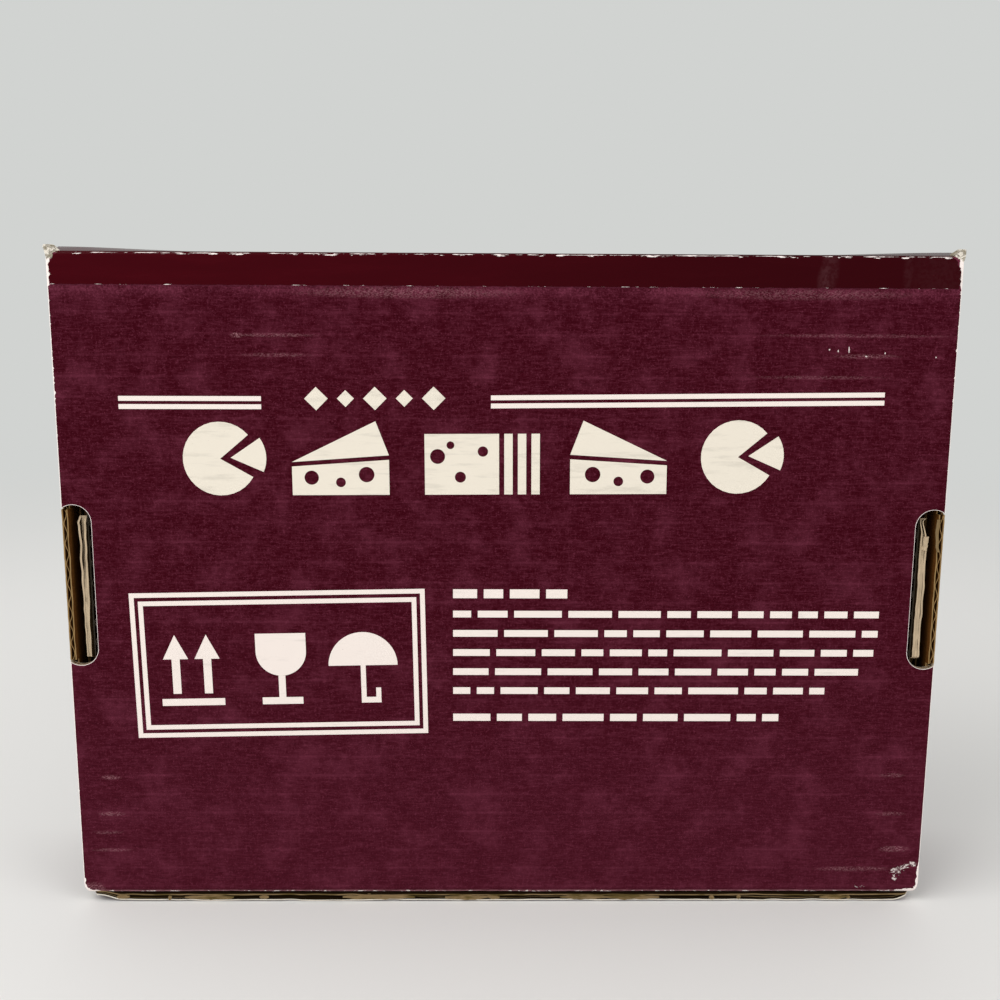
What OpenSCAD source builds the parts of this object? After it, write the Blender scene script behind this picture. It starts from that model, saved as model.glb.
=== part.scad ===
// Boxed marble cheese slicer: a roll-end corrugated carton that stands on its
// front flap, with a wire slicer on a marble slab packed inside it.
// X runs side to side, +Y from the printed base panel to the lid, +Z up.

/* [Carton] */
// Width of the carton, side to side
carton_w = 276; // [240:1:340]
// Height of the carton as it stands on its front flap
carton_h = 211; // [180:1:260]
// Depth of the carton, base panel to lid
carton_d = 57; // [54:0.5:80]
// Thickness of the corrugated board
board_t = 2.2; // [1.8:0.1:3]
// Clearance between boards that lie beside each other
board_clear = 0.3; // [0.2:0.05:0.5]
// Space between the front flap and the front wall
flap_gap = 0.9; // [0.1:0.1:1.5]
// Length of the corner flaps inside the hollow side walls
corner_flap_len = 44; // [20:1:55]
// Clearance on each side of a corner flap in its hollow wall
corner_flap_clear = 0.35; // [0.2:0.05:1.2]
// How far the front flap's ends stop short of the carton's sides
flap_inset = 2.5; // [1:0.5:8]
// Corner radius of the front flap
flap_corner_r = 2.5; // [2:0.5:12]

/* [Wrap sheet] */
// Thickness of the printed wrap sheet
sheet_t = 0.3; // [0.2:0.05:0.5]
// Width of the wrap sheet's lap on the base panel
lap_w = 9.8; // [6:0.2:20]
// How far the wrap sheet stops short of the carton's sides
lap_inset = 1.5; // [0.5:0.1:2]

/* [Lock slots] */
// Length of each lock slot
slot_len = 52; // [40:1:64]
// Space between a lock tab and the inner edge of its slot
slot_slack = 1.9; // [0.5:0.1:4]
// How far the slot's round ends reach past the carton's side
slot_overcut = 2; // [1:0.5:3]
// Space between a lock tab's ends and its slot's ends
tab_end_gap = 3; // [2.5:0.25:6]
// How far the lock tabs and wall edges sit behind the base panel's face
edge_recess = 0.4; // [0.2:0.1:1.5]

/* [Marble slab] */
// Space between the slab's ends and the inner side walls
side_room = 16.2; // [12:0.1:30]
// Thickness of the slab
slab_t = 16; // [15:0.5:20]
// Corner radius of the slab
slab_corner_r = 5; // [2:0.5:10]
// Distance of the wire groove from the arm end of the slab
slice_l = 70; // [60:1:90]
// Width of the wire groove
groove_w = 2.4; // [1.6:0.2:4]
// Depth of the wire groove
groove_d = 4; // [3.4:0.1:6]
// Width of the hinge notch
notch_w = 16; // [14:0.5:22]
// Depth of the hinge notch, from the hinge edge
notch_d = 18; // [16.5:0.5:24]
// Diameter of the rubber feet
foot_dia = 14; // [10:0.5:20]
// Height of the rubber feet
foot_h = 6; // [4:0.5:8]
// Distance of the feet from the slab's edges
foot_inset = 18; // [12:1:30]

/* [Slicer arm] */
// Diameter of the arm rod
rod_dia = 6; // [4:0.5:7]
// Distance of the arm's long leg from the end of the slab
rod_offset = 7; // [6.5:0.1:9]
// Bend radius of the arm rod
bend_r = 6.5; // [5:0.5:6.5]
// Distance of the hinge axis from the slab's hinge edge
axle_inset = 8; // [7.5:0.1:9]
// How far the axle runs past the hinge notch
axle_end = 12; // [6:1:20]
// Space between the axle's tip and the end of its bore
axle_tip_gap = 1; // [0.5:0.25:3]
// Radial running clearance of the axle and of the grip
run_clear = 0.05; // [0.02:0.01:0.1]
// Loose clearance of rods and wire in the holes they pass through
hole_clear = 0.3; // [0.15:0.05:0.4]
// Outside diameter of the axle bushes
bush_dia = 9; // [8.5:0.5:11]
// Length of each axle bush
bush_len = 10; // [6:1:16]
// Outside diameter of the wire collar on the axle
collar_dia = 14; // [13:0.25:14.5]
// Width of the wire collar
collar_w = 10; // [8:0.5:12]
// Diameter of the cutting wire
wire_dia = 0.8; // [0.5:0.1:1.2]
// Diameter of the crimped ferrules on the wire's ends
ferrule_dia = 2.4; // [2:0.1:3]
// Length of the crimped ferrules
ferrule_len = 3; // [2:0.5:4]
// Height of the ferrule's seat in the collar, above the hinge axis
ferrule_seat_rise = 2; // [1:0.25:3]
// Depth of the wire below the slab's top
wire_depth = 2.5; // [1.8:0.1:2.9]
// Distance of the arm's front leg from the slab's front edge
front_leg_gap = 9; // [7:0.5:12]
// Outside diameter of the eye at the arm's front end
eye_dia = 12; // [11:0.5:14]
// Diameter of the tension stud
stud_dia = 4; // [3:0.5:5]
// Clearance round the stud in the eye and the washer
stud_clear = 0.1; // [0.05:0.05:0.3]
// Height of the stud's end above the eye
stud_stand = 1; // [0.5:0.25:3]

/* [Grip] */
// Space between the grip's end and the front wall
grip_front_gap = 7.75; // [3:0.05:15]
// Length of the turned grip
grip_len = 38; // [26:1:60]
// Diameter of the grip at its middle
grip_dia = 22; // [18:0.5:24]
// Diameter of the grip at its ends
grip_end_dia = 15.5; // [13:0.5:17]
// Length of the threaded insert in the grip
insert_len = 14; // [8:1:20]
// Depth of the wire's end inside the threaded insert
insert_end_gap = 1; // [0.5:0.25:2]
// Outside diameter of the threaded insert
insert_dia = 7; // [6.5:0.25:9]
// Diameter of the washer between the eye and the grip
washer_dia = 11; // [9:0.5:13]
// Thickness of the washer
washer_t = 1; // [0.6:0.1:2]

/* [Packing pads] */
// Number of board plies between the slab and the rear wall
rear_pad_plies = 2; // [1:1:2]
// Width of each front pad
front_pad_w = 50; // [30:1:55]
// Clearance between the arm and the pad under it
pad_arm_clear = 1; // [0.5:0.25:2]
// Distance of the near front pad from the wire groove
front_pad_gap = 20; // [14:1:24]

/* [Hidden] */
$fn = 64;
eps = 0.01;
cut = 1;

// Carton planes
half_w = carton_w / 2;
base_face = -carton_d / 2 + sheet_t;
base_in = base_face + board_t;
lid_face = carton_d / 2 - sheet_t;
lid_in = lid_face - board_t;
ridge_top = lid_in - board_clear;
ridge_low = ridge_top - board_t;
front_face = board_t + flap_gap;
front_in = front_face + board_t;
rear_face = carton_h - sheet_t;
rear_in = rear_face - board_t;
hollow_w = board_t + 2 * corner_flap_clear;
outer_in = half_w - board_t;
inner_out = outer_in - hollow_w;
inner_in = inner_out - board_t;
corner_out = outer_in - corner_flap_clear;

// Lock slots and their tabs
slot_w = half_w - inner_in + slot_slack;
slot_z = (front_face + rear_face) / 2;
slot_r = (slot_w + slot_overcut) / 2;
slot_centre_x = half_w - slot_w + slot_r;
slot_straight = slot_len / 2 - slot_r;
slot_half_at_side = slot_straight + sqrt(slot_r * slot_r - pow(half_w - slot_centre_x, 2));
tab_half = slot_len / 2 - tab_end_gap;

// Slicer planes
slab_low = base_in + foot_h;
slab_top = slab_low + slab_t;
rear_pad_t = rear_pad_plies * board_t;
hinge_edge = rear_in - rear_pad_t;
slab_l = 2 * (inner_in - side_room);
arm_end = -slab_l / 2;
wire_x = arm_end + slice_l;
wire_y = slab_top - wire_depth;
axle_y = (slab_low + slab_top) / 2;
axle_z = hinge_edge - axle_inset;
leg_x = arm_end - rod_offset;
notch_left = wire_x - notch_w / 2;
notch_right = wire_x + notch_w / 2;
notch_floor = hinge_edge - notch_d;
axle_bore_dia = rod_dia + 2 * hole_clear;
axle_tip = notch_right + axle_end;
wire_hole_dia = wire_dia + 2 * hole_clear;
ferrule_seat = axle_z + ferrule_seat_rise;

// Grip, eye and stud along the wire's line, from the front wall up to the slab
stud_hole_dia = stud_dia + 2 * stud_clear;
grip_low = front_in + grip_front_gap;
grip_top = grip_low + grip_len;
washer_top = grip_top + washer_t;
eye_low = washer_top + run_clear;
eye_high = eye_low + rod_dia;
front_leg_z = (eye_low + eye_high) / 2;
front_edge = front_leg_z + front_leg_gap;
stud_top = eye_high + stud_stand;
stud_low = grip_top - insert_len + ferrule_len + insert_end_gap;
grip_bulge_r = (pow(grip_len / 2, 2) + pow((grip_dia - grip_end_dia) / 2, 2)) / (grip_dia - grip_end_dia);

printed = "#4b1422";
kraft = "#a98a5c";
glossy = "#40060e";
steel = "#c9ccd0";

// A board or sheet between two opposite corners
module board(low, high) {
    translate(low) cube(high - low);
}

// Its children as they are, and mirrored to the other side
module on_side(side) {
    mirror([side < 0 ? 0 : 1, 0, 0]) children();
}

// Plate in X and Z with round corners, between two Y planes
module rounded_plate(low_x, high_x, low_z, high_z, r, y0, y1) {
    translate([0, y1, 0]) rotate([90, 0, 0]) linear_extrude(y1 - y0) union() {
        translate([low_x + r, low_z]) square([high_x - low_x - 2 * r, high_z - low_z]);
        translate([low_x, low_z + r]) square([high_x - low_x, high_z - low_z - 2 * r]);
        for (x = [low_x + r, high_x - r], z = [low_z + r, high_z - r])
            translate([x, z]) circle(r);
    }
}

// Cylinder along X, Y or Z between two places on that axis
module rod_x(x0, x1, y, z, d) {
    translate([x0, y, z]) rotate([0, 90, 0]) cylinder(d = d, h = x1 - x0);
}

module rod_z(x, y, z0, z1, d) {
    translate([x, y, z0]) cylinder(d = d, h = z1 - z0);
}

// Lock slot at the left side, cut through the base panel
module lock_slot() {
    translate([0, base_in + eps, 0]) rotate([90, 0, 0]) linear_extrude(board_t + 2 * eps)
        translate([-slot_centre_x, slot_z]) {
            translate([-slot_r, -slot_straight]) square([2 * slot_r, 2 * slot_straight]);
            for (end = [-1, 1]) translate([0, end * slot_straight]) circle(slot_r);
        }
}

module base_panel() {
    color(printed) difference() {
        board([-half_w, base_face, front_face], [half_w, base_in, rear_face]);
        for (side = [-1, 1]) on_side(side) lock_slot();
    }
}

module front_wall() {
    color(printed) board([-outer_in, base_in, front_face], [outer_in, ridge_top, front_in]);
}

module rear_wall() {
    color(printed) board([-outer_in, base_in, rear_in], [outer_in, ridge_top, rear_face]);
}

// Outer skin of a hollow side wall, with the cut edge that shows in the slot
module outer_wall(side) {
    shown_half = slot_half_at_side - board_clear;
    color(printed) on_side(side) union() {
        board([-half_w, base_in, front_face], [-outer_in, ridge_top, rear_face]);
        board([-half_w, base_face + edge_recess, slot_z - shown_half],
              [-outer_in, base_in + eps, slot_z + shown_half]);
    }
}

// Flat top of a hollow side wall, under the lid
module wall_ridge(side) {
    color(kraft) on_side(side)
        board([-outer_in, ridge_low, front_in], [-inner_in, ridge_top, rear_in]);
}

// Inner skin of a hollow side wall, with the tab that locks into the slot
module inner_wall(side) {
    color(kraft) on_side(side) union() {
        board([-inner_out, base_in, front_in], [-inner_in, ridge_low, rear_in]);
        board([-inner_out, base_face + edge_recess, slot_z - tab_half],
              [-inner_in, base_in + eps, slot_z + tab_half]);
    }
}

// Flap of the front or rear wall, folded into a hollow side wall
module corner_flap(side, low_z, high_z) {
    color(kraft) on_side(side)
        board([-corner_out, base_in + board_clear, low_z],
              [-corner_out + board_t, ridge_low - board_clear, high_z]);
}

// Printed sheet over the rear wall, lapped on to the base panel
module wrap_sheet_rear() {
    half = half_w - lap_inset;
    color(glossy) union() {
        board([-half, base_face - sheet_t, rear_face], [half, lid_face - board_clear, carton_h]);
        board([-half, base_face - sheet_t, carton_h - lap_w], [half, base_face, rear_face + eps]);
    }
}

module lid_panel() {
    color(printed) board([-half_w, lid_in, 0], [half_w, lid_face, rear_face]);
}

module wrap_sheet_lid() {
    color(glossy) board([-half_w, lid_face, 0], [half_w, lid_face + sheet_t, rear_face]);
}

// Flap of the lid, folded under the front wall, with round free corners
module front_flap() {
    half = half_w - flap_inset;
    free_edge = base_face + edge_recess;
    hinge_side = lid_in - board_clear;
    r = flap_corner_r;
    color(printed) linear_extrude(board_t) union() {
        translate([-half, free_edge + r]) square([2 * half, hinge_side - free_edge - r]);
        translate([-half + r, free_edge]) square([2 * half - 2 * r, r + eps]);
        for (side = [-1, 1]) translate([side * (half - r), free_edge + r]) circle(r);
    }
}

// Glued plies of board between the slab and the rear wall
module rear_pad() {
    half = slab_l / 2 - slab_corner_r;
    color(kraft) board([-half, base_in, hinge_edge], [half, slab_top, rear_in]);
}

// Glued plies of board at the arm end of the slab, under the arm
module left_side_pad() {
    color(kraft) board([-inner_in, base_in, front_edge + slab_corner_r],
                       [arm_end, axle_y - rod_dia / 2 - pad_arm_clear, hinge_edge - slab_corner_r]);
}

module right_side_pad() {
    color(kraft) board([slab_l / 2, base_in, front_edge + slab_corner_r],
                       [inner_in, slab_top, hinge_edge - slab_corner_r]);
}

// Glued plies of board that carry the slab's front edge
module front_pad(low_x) {
    color(kraft) board([low_x, base_in, front_in], [low_x + front_pad_w, slab_top, front_edge]);
}

module marble_slab() {
    color("#e9e7e2") difference() {
        rounded_plate(arm_end, slab_l / 2, front_edge, hinge_edge, slab_corner_r, slab_low, slab_top);
        board([wire_x - groove_w / 2, slab_top - groove_d, front_edge - cut],
              [wire_x + groove_w / 2, slab_top + cut, notch_floor + cut]);
        board([notch_left, slab_low - cut, notch_floor], [notch_right, slab_top + cut, hinge_edge + cut]);
        rod_x(arm_end - cut, axle_tip + axle_tip_gap, axle_y, axle_z, axle_bore_dia);
        rod_x(arm_end - cut, arm_end + bush_len, axle_y, axle_z, bush_dia);
        rod_x(notch_left - bush_len, notch_left + cut, axle_y, axle_z, bush_dia);
    }
}

module rubber_feet() {
    color("#2b2b2b")
        for (x = [arm_end + foot_inset, slab_l / 2 - foot_inset],
             z = [front_edge + foot_inset, hinge_edge - foot_inset - notch_d])
            translate([x, base_in, z]) rotate([-90, 0, 0]) cylinder(d = foot_dia, h = foot_h);
}

// Nylon sleeve in the slab that the axle turns in
module axle_bush(x0) {
    color("#dcd8cc") difference() {
        rod_x(x0, x0 + bush_len, axle_y, axle_z, bush_dia);
        rod_x(x0 - cut, x0 + bush_len + cut, axle_y, axle_z, rod_dia + 2 * run_clear);
    }
}

// Quarter bend of the arm rod, in the plane of the arm
module rod_bend(z, up) {
    translate([leg_x + bend_r, axle_y, z - up * bend_r]) rotate([90, 0, 0])
        rotate([0, 0, up > 0 ? 90 : 180])
            rotate_extrude(angle = 90) translate([bend_r, 0]) circle(d = rod_dia);
}

// One bent rod: axle, long leg and front leg, with the eye for the stud
module arm_frame() {
    color(steel) difference() {
        union() {
            rod_x(leg_x + bend_r, axle_tip, axle_y, axle_z, rod_dia);
            rod_bend(axle_z, 1);
            rod_z(leg_x, axle_y, front_leg_z + bend_r, axle_z - bend_r, rod_dia);
            rod_bend(front_leg_z, -1);
            rod_x(leg_x + bend_r, wire_x, axle_y, front_leg_z, rod_dia);
            rod_z(wire_x, wire_y, eye_low, eye_high, eye_dia);
        }
        rod_z(wire_x, wire_y, eye_low - cut, eye_high + cut, stud_hole_dia);
    }
}

// Ring on the axle that holds the wire's hinge end
module wire_collar() {
    color("#b9bcc2") difference() {
        rod_x(wire_x - collar_w / 2, wire_x + collar_w / 2, axle_y, axle_z, collar_dia);
        rod_x(wire_x - collar_w, wire_x + collar_w, axle_y, axle_z, rod_dia + 2 * run_clear);
        rod_z(wire_x, wire_y, axle_z - collar_dia, axle_z + collar_dia, wire_hole_dia);
        rod_z(wire_x, wire_y, ferrule_seat, axle_z + collar_dia, ferrule_dia + 2 * hole_clear);
    }
}

// Straight wire from the collar, along the groove and through the hollow stud
module cutting_wire() {
    color("#8d9299") rod_z(wire_x, wire_y, stud_low, ferrule_seat, wire_dia);
}

// Crimped ends that stop the wire in the collar and under the stud
module wire_ferrules() {
    color("#c2a35a") for (low = [stud_low - ferrule_len, ferrule_seat])
        rod_z(wire_x, wire_y, low, low + ferrule_len, ferrule_dia);
}

module tension_stud() {
    color(steel) difference() {
        rod_z(wire_x, wire_y, stud_low, stud_top, stud_dia);
        rod_z(wire_x, wire_y, stud_low - cut, stud_top + cut, wire_hole_dia);
    }
}

// Turned wooden grip that screws on to the stud and tightens the wire
module grip() {
    color("#7a4a2a") translate([wire_x, wire_y, grip_low]) rotate_extrude() difference() {
        intersection() {
            square([grip_dia / 2, grip_len]);
            translate([grip_dia / 2 - grip_bulge_r, grip_len / 2]) circle(grip_bulge_r, $fn = 256);
        }
        translate([0, grip_len - insert_len]) square([insert_dia / 2, insert_len + cut]);
    }
}

module grip_insert() {
    color("#c2a35a") difference() {
        rod_z(wire_x, wire_y, grip_top - insert_len, grip_top, insert_dia);
        rod_z(wire_x, wire_y, grip_top - insert_len - cut, grip_top + cut, stud_dia + 2 * run_clear);
    }
}

module grip_washer() {
    color(steel) difference() {
        rod_z(wire_x, wire_y, grip_top, washer_top, washer_dia);
        rod_z(wire_x, wire_y, grip_top - cut, washer_top + cut, stud_hole_dia);
    }
}

base_panel();
front_wall();
rear_wall();
outer_wall(-1);  // left_outer_wall
outer_wall(1);  // right_outer_wall
wall_ridge(-1);  // left_wall_ridge
wall_ridge(1);  // right_wall_ridge
inner_wall(-1);  // left_inner_wall
inner_wall(1);  // right_inner_wall
corner_flap(-1, front_in, front_in + corner_flap_len);  // front_left_corner_flap
corner_flap(1, front_in, front_in + corner_flap_len);  // front_right_corner_flap
corner_flap(-1, rear_in - corner_flap_len, rear_in);  // rear_left_corner_flap
corner_flap(1, rear_in - corner_flap_len, rear_in);  // rear_right_corner_flap
wrap_sheet_rear();
lid_panel();
wrap_sheet_lid();
front_flap();
rear_pad();
left_side_pad();
right_side_pad();
front_pad(wire_x + front_pad_gap);  // near_front_pad
front_pad(slab_l / 2 - front_pad_w - slab_corner_r);  // far_front_pad
marble_slab();
rubber_feet();
axle_bush(arm_end);  // outer_axle_bush
axle_bush(notch_left - bush_len);  // inner_axle_bush
arm_frame();
wire_collar();
cutting_wire();
wire_ferrules();
tension_stud();
grip();
grip_insert();
grip_washer();
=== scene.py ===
import functools
import math
import random

import bmesh
import bpy
from bpy.props import FloatProperty, FloatVectorProperty, PointerProperty
from bpy.types import Operator, Panel, PropertyGroup
from mathutils import Matrix, Vector, noise


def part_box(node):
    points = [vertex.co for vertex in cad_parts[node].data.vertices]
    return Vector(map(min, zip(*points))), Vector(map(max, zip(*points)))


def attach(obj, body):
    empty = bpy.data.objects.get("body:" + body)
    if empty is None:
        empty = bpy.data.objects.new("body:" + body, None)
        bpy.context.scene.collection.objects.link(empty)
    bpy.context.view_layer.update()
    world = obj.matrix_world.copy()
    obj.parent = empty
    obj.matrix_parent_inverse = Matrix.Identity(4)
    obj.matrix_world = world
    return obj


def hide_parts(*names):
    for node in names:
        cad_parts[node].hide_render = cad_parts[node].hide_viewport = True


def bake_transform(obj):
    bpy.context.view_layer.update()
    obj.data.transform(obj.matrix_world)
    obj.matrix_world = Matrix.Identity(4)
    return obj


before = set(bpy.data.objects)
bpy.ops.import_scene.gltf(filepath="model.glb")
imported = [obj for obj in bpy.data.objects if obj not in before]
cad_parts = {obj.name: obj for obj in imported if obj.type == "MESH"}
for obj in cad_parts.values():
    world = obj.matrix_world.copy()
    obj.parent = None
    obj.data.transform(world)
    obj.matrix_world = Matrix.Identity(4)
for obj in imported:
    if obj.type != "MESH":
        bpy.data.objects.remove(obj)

bl_info = {
    "name": "Boxed cheese slicer",
    "version": (1, 0, 0),
    "blender": (4, 5, 0),
    "location": "View3D > Sidebar > Carton",
    "description": "Dresses the packed carton and the slicer inside it",
    "category": "Object",
}

X, Y, Z = 0, 1, 2
MM = 0.001
ON_PLANE = MM / 10
MERGE_DISTANCE = MM / 1000
SHARP_ANGLE = math.radians(35)
NOISE_SEED = 11
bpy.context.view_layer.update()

# Places of a board's finishes in its material list
PRINT, CORE, KRAFT, WHITE = 0, 1, 2, 3

# Inputs for the first value, and the output, of a Mix node
MIX_SOCKETS = {"FLOAT": (2, 0), "RGBA": (6, 2)}

PANEL_LOW, PANEL_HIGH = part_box("base_panel")
WRAP_LOW, WRAP_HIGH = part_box("wrap_sheet_rear")
FLAP_LOW, FLAP_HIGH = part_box("front_flap")
SLOT_POINTS = [v.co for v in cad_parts["base_panel"].data.vertices
               if v.co.x < 0 and PANEL_LOW.z + MM < v.co.z < PANEL_HIGH.z - MM]
SLOT_WIDTH = max(p.x for p in SLOT_POINTS) - PANEL_LOW.x
SLOT_LENGTH = max(p.z for p in SLOT_POINTS) - min(p.z for p in SLOT_POINTS)

# Height of the rubbed line on the crease above the flap, over the panel's lower edge
FOLD_LINE = 0.8 * MM


def smooth(low, high, value):
    """0 below low, 1 above high, and an even curve between them."""
    share = min(1.0, max(0.0, (value - low) / (high - low)))
    return share * share * (3 - 2 * share)


def shade(red, green, blue):
    """A colour read off a screen, 0 to 255, as linear light."""
    return tuple(((c / 255 + 0.055) / 1.055) ** 2.4 if c > 10 else c / 255 / 12.92
                 for c in (red, green, blue))


def tint(base, share):
    """A colour made darker or lighter."""
    return tuple(c * share for c in base)


def colour(name, description, value):
    return FloatVectorProperty(name=name, description=description, default=value,
                               subtype="COLOR", min=0.0, max=1.0)


def length(name, description, millimetres):
    return FloatProperty(name=name, description=description, default=millimetres * MM,
                         subtype="DISTANCE", unit="LENGTH", precision=5)


def angle(name, description, degrees):
    return FloatProperty(name=name, description=description, default=math.radians(degrees),
                         subtype="ANGLE")


class CartonSizes(PropertyGroup):
    """Sizes of the corrugated board and of the lock slots."""
    flute_pitch: length("Flute pitch", "Distance from one flute to the next", 6.46)
    flute_start: length("Flute start", "Height of the lowest flute line on the base panel", 5.8)
    liner_t: length("Liner", "Thickness of each flat ply", 0.4)
    medium_t: length("Medium", "Thickness of the fluted ply", 0.24)
    side_crease_r: length("Side crease", "Outside radius of the creases at the sides", 0.7)
    front_crease_r: length("Front crease", "Outside radius of the crease above the flap", 2.0)
    corner_r: length("Worn corner", "Radius of the rubbed corners above the flap", 3.2)
    flap_corner_r: length("Flap corner", "Radius of the flap's free corners", 2.5)
    washboard: length("Washboard", "Depth of the flute lines that show through the liner", 0.05)
    slot_len: length("Slot length", "Length of each lock slot", SLOT_LENGTH / MM)
    slot_w: length("Slot width", "Width of each lock slot, from the carton's side", SLOT_WIDTH / MM)
    slot_overcut: length("Slot overcut", "How far the slot's ends reach past the side", 2)
    slot_rise: length("Slot rise", "How much higher the left lock slot was punched", 0.8)
    print_up: length("Print offset", "How far the whole printed design is moved up", 0.4)
    print_t: length("Print", "Thickness of the printed cream", 0.13)
    sheet_t: length("Wrap sheet", "Thickness of the printed wrap sheet", 0.16)
    dish: length("Dish", "How far the rear wall's corners stand above its middle", 1.35)
    pad_ply: length("Pad ply", "About the thickness of each board in a packing pad", 2.75)


class CartonColours(PropertyGroup):
    """Inks and papers of the carton."""
    rub: colour("Rubbed ink", "Pinkish specks where the print is scuffed", shade(198, 144, 152))
    ink: colour("Ink", "Matt maroon ink on the board", shade(58, 4, 17))
    # Greyed ink of rubbed print, also the tone of the painted bounce light and painted highlight on the base
    # panel
    dust_and_painted_light: colour("Dust and painted light", "Greyed ink where the print is rubbed", shade(118, 52, 72))
    gloss_ink: colour("Gloss ink", "Darker red of the glossy wrap sheet", shade(62, 3, 12))
    paper: colour("Paper", "White paper under the ink", shade(255, 243, 238))
    crushed: colour("Crushed board", "Pressed ends of the lock tabs", shade(202, 180, 150))
    liner: colour("Liner edge", "Cut edge of the flap's inner liner", shade(140, 117, 82))
    raw: colour("Cut paper", "Cut edges of the liners", shade(208, 192, 168))
    kraft: colour("Kraft", "Brown paper inside the board", shade(124, 94, 58))
    # Painted shade: a darker, browner copy of the kraft for inside the hollow side walls, seen in shade
    # through the lock slots
    hollow: colour("Hollow kraft", "Kraft inside the hollow side walls", shade(100, 62, 26))
    # Painted shade: cut board edges in the lock slots, darker than the cut paper elsewhere
    soiled: colour("Soiled cut", "Cut board edges in the lock slots", shade(158, 128, 84))
    stain: colour("Stain", "Old glue on the flap's cut edge", shade(84, 70, 34))
    # Painted shade in the folds of the torn corners
    fold_shade: colour("Fold shade", "Painted shade in the folds of torn paper", shade(128, 118, 96))
    torn: colour("Torn paper", "Crushed paper at the torn corners", shade(236, 228, 214))
    cream: colour("Cream", "Unprinted cream of the design", shade(246, 234, 226))
    aged_cream: colour("Aged cream", "Cream of the large shapes", shade(238, 229, 213))


class SlicerColours(PropertyGroup):
    """Finishes of the slicer in the carton."""
    marble: colour("Marble", "Ground of the slab", shade(236, 234, 230))
    vein: colour("Vein", "Veins of the slab", shade(140, 142, 148))
    steel: colour("Steel", "Bright rod and fittings", shade(205, 207, 210))
    wire: colour("Wire", "Drawn cutting wire", shade(150, 153, 158))
    wood: colour("Wood", "Turned grip", shade(122, 74, 42))
    brass: colour("Brass", "Insert and ferrules", shade(200, 168, 96))
    rubber: colour("Rubber", "Feet", shade(38, 38, 40))
    nylon: colour("Nylon", "Axle bushes", shade(226, 220, 206))


class StageLooks(PropertyGroup):
    """Camera, floor and light."""
    focal: FloatProperty(name="Focal length", description="In image widths", default=1.23)
    eye: FloatVectorProperty(name="Eye", description="Camera's place", subtype="TRANSLATION",
                             unit="LENGTH", default=(-0.00627, -0.404105, 0.207168))
    pitch: angle("Pitch", "Camera's tilt up from level", -10.765)
    yaw: angle("Yaw", "Camera's turn about the upright", -0.705)
    roll: angle("Roll", "Camera's turn about its own axis", -0.328)
    floor: colour("Floor", "Pale floor under the carton", shade(240, 239, 236))
    backdrop: colour("Backdrop", "What shows beyond the floor", shade(209, 211, 209))
    world: FloatProperty(name="World", description="Light from all round", default=0.62)
    key: FloatProperty(name="Key", description="Power of the large lamp at the left", default=8.0,
                       unit="POWER")
    fill: FloatProperty(name="Fill", description="Power of the lamp at the right", default=4.5,
                        unit="POWER")


def sizes():
    return bpy.context.scene.carton_sizes


def inks():
    return bpy.context.scene.carton_colours


def slicer_tones():
    return bpy.context.scene.slicer_colours


def show_either(tree, share, first, second, output):
    """Ends a node tree in two shaders, mixed by a share."""
    choice = tree.nodes.new("ShaderNodeMixShader")
    plugs = (share, first.outputs[0], second.outputs[0])
    for plug, socket in zip(plugs, choice.inputs):
        tree.links.new(plug, socket)
    tree.links.new(choice.outputs[0], tree.nodes[output].inputs["Surface"])


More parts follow.
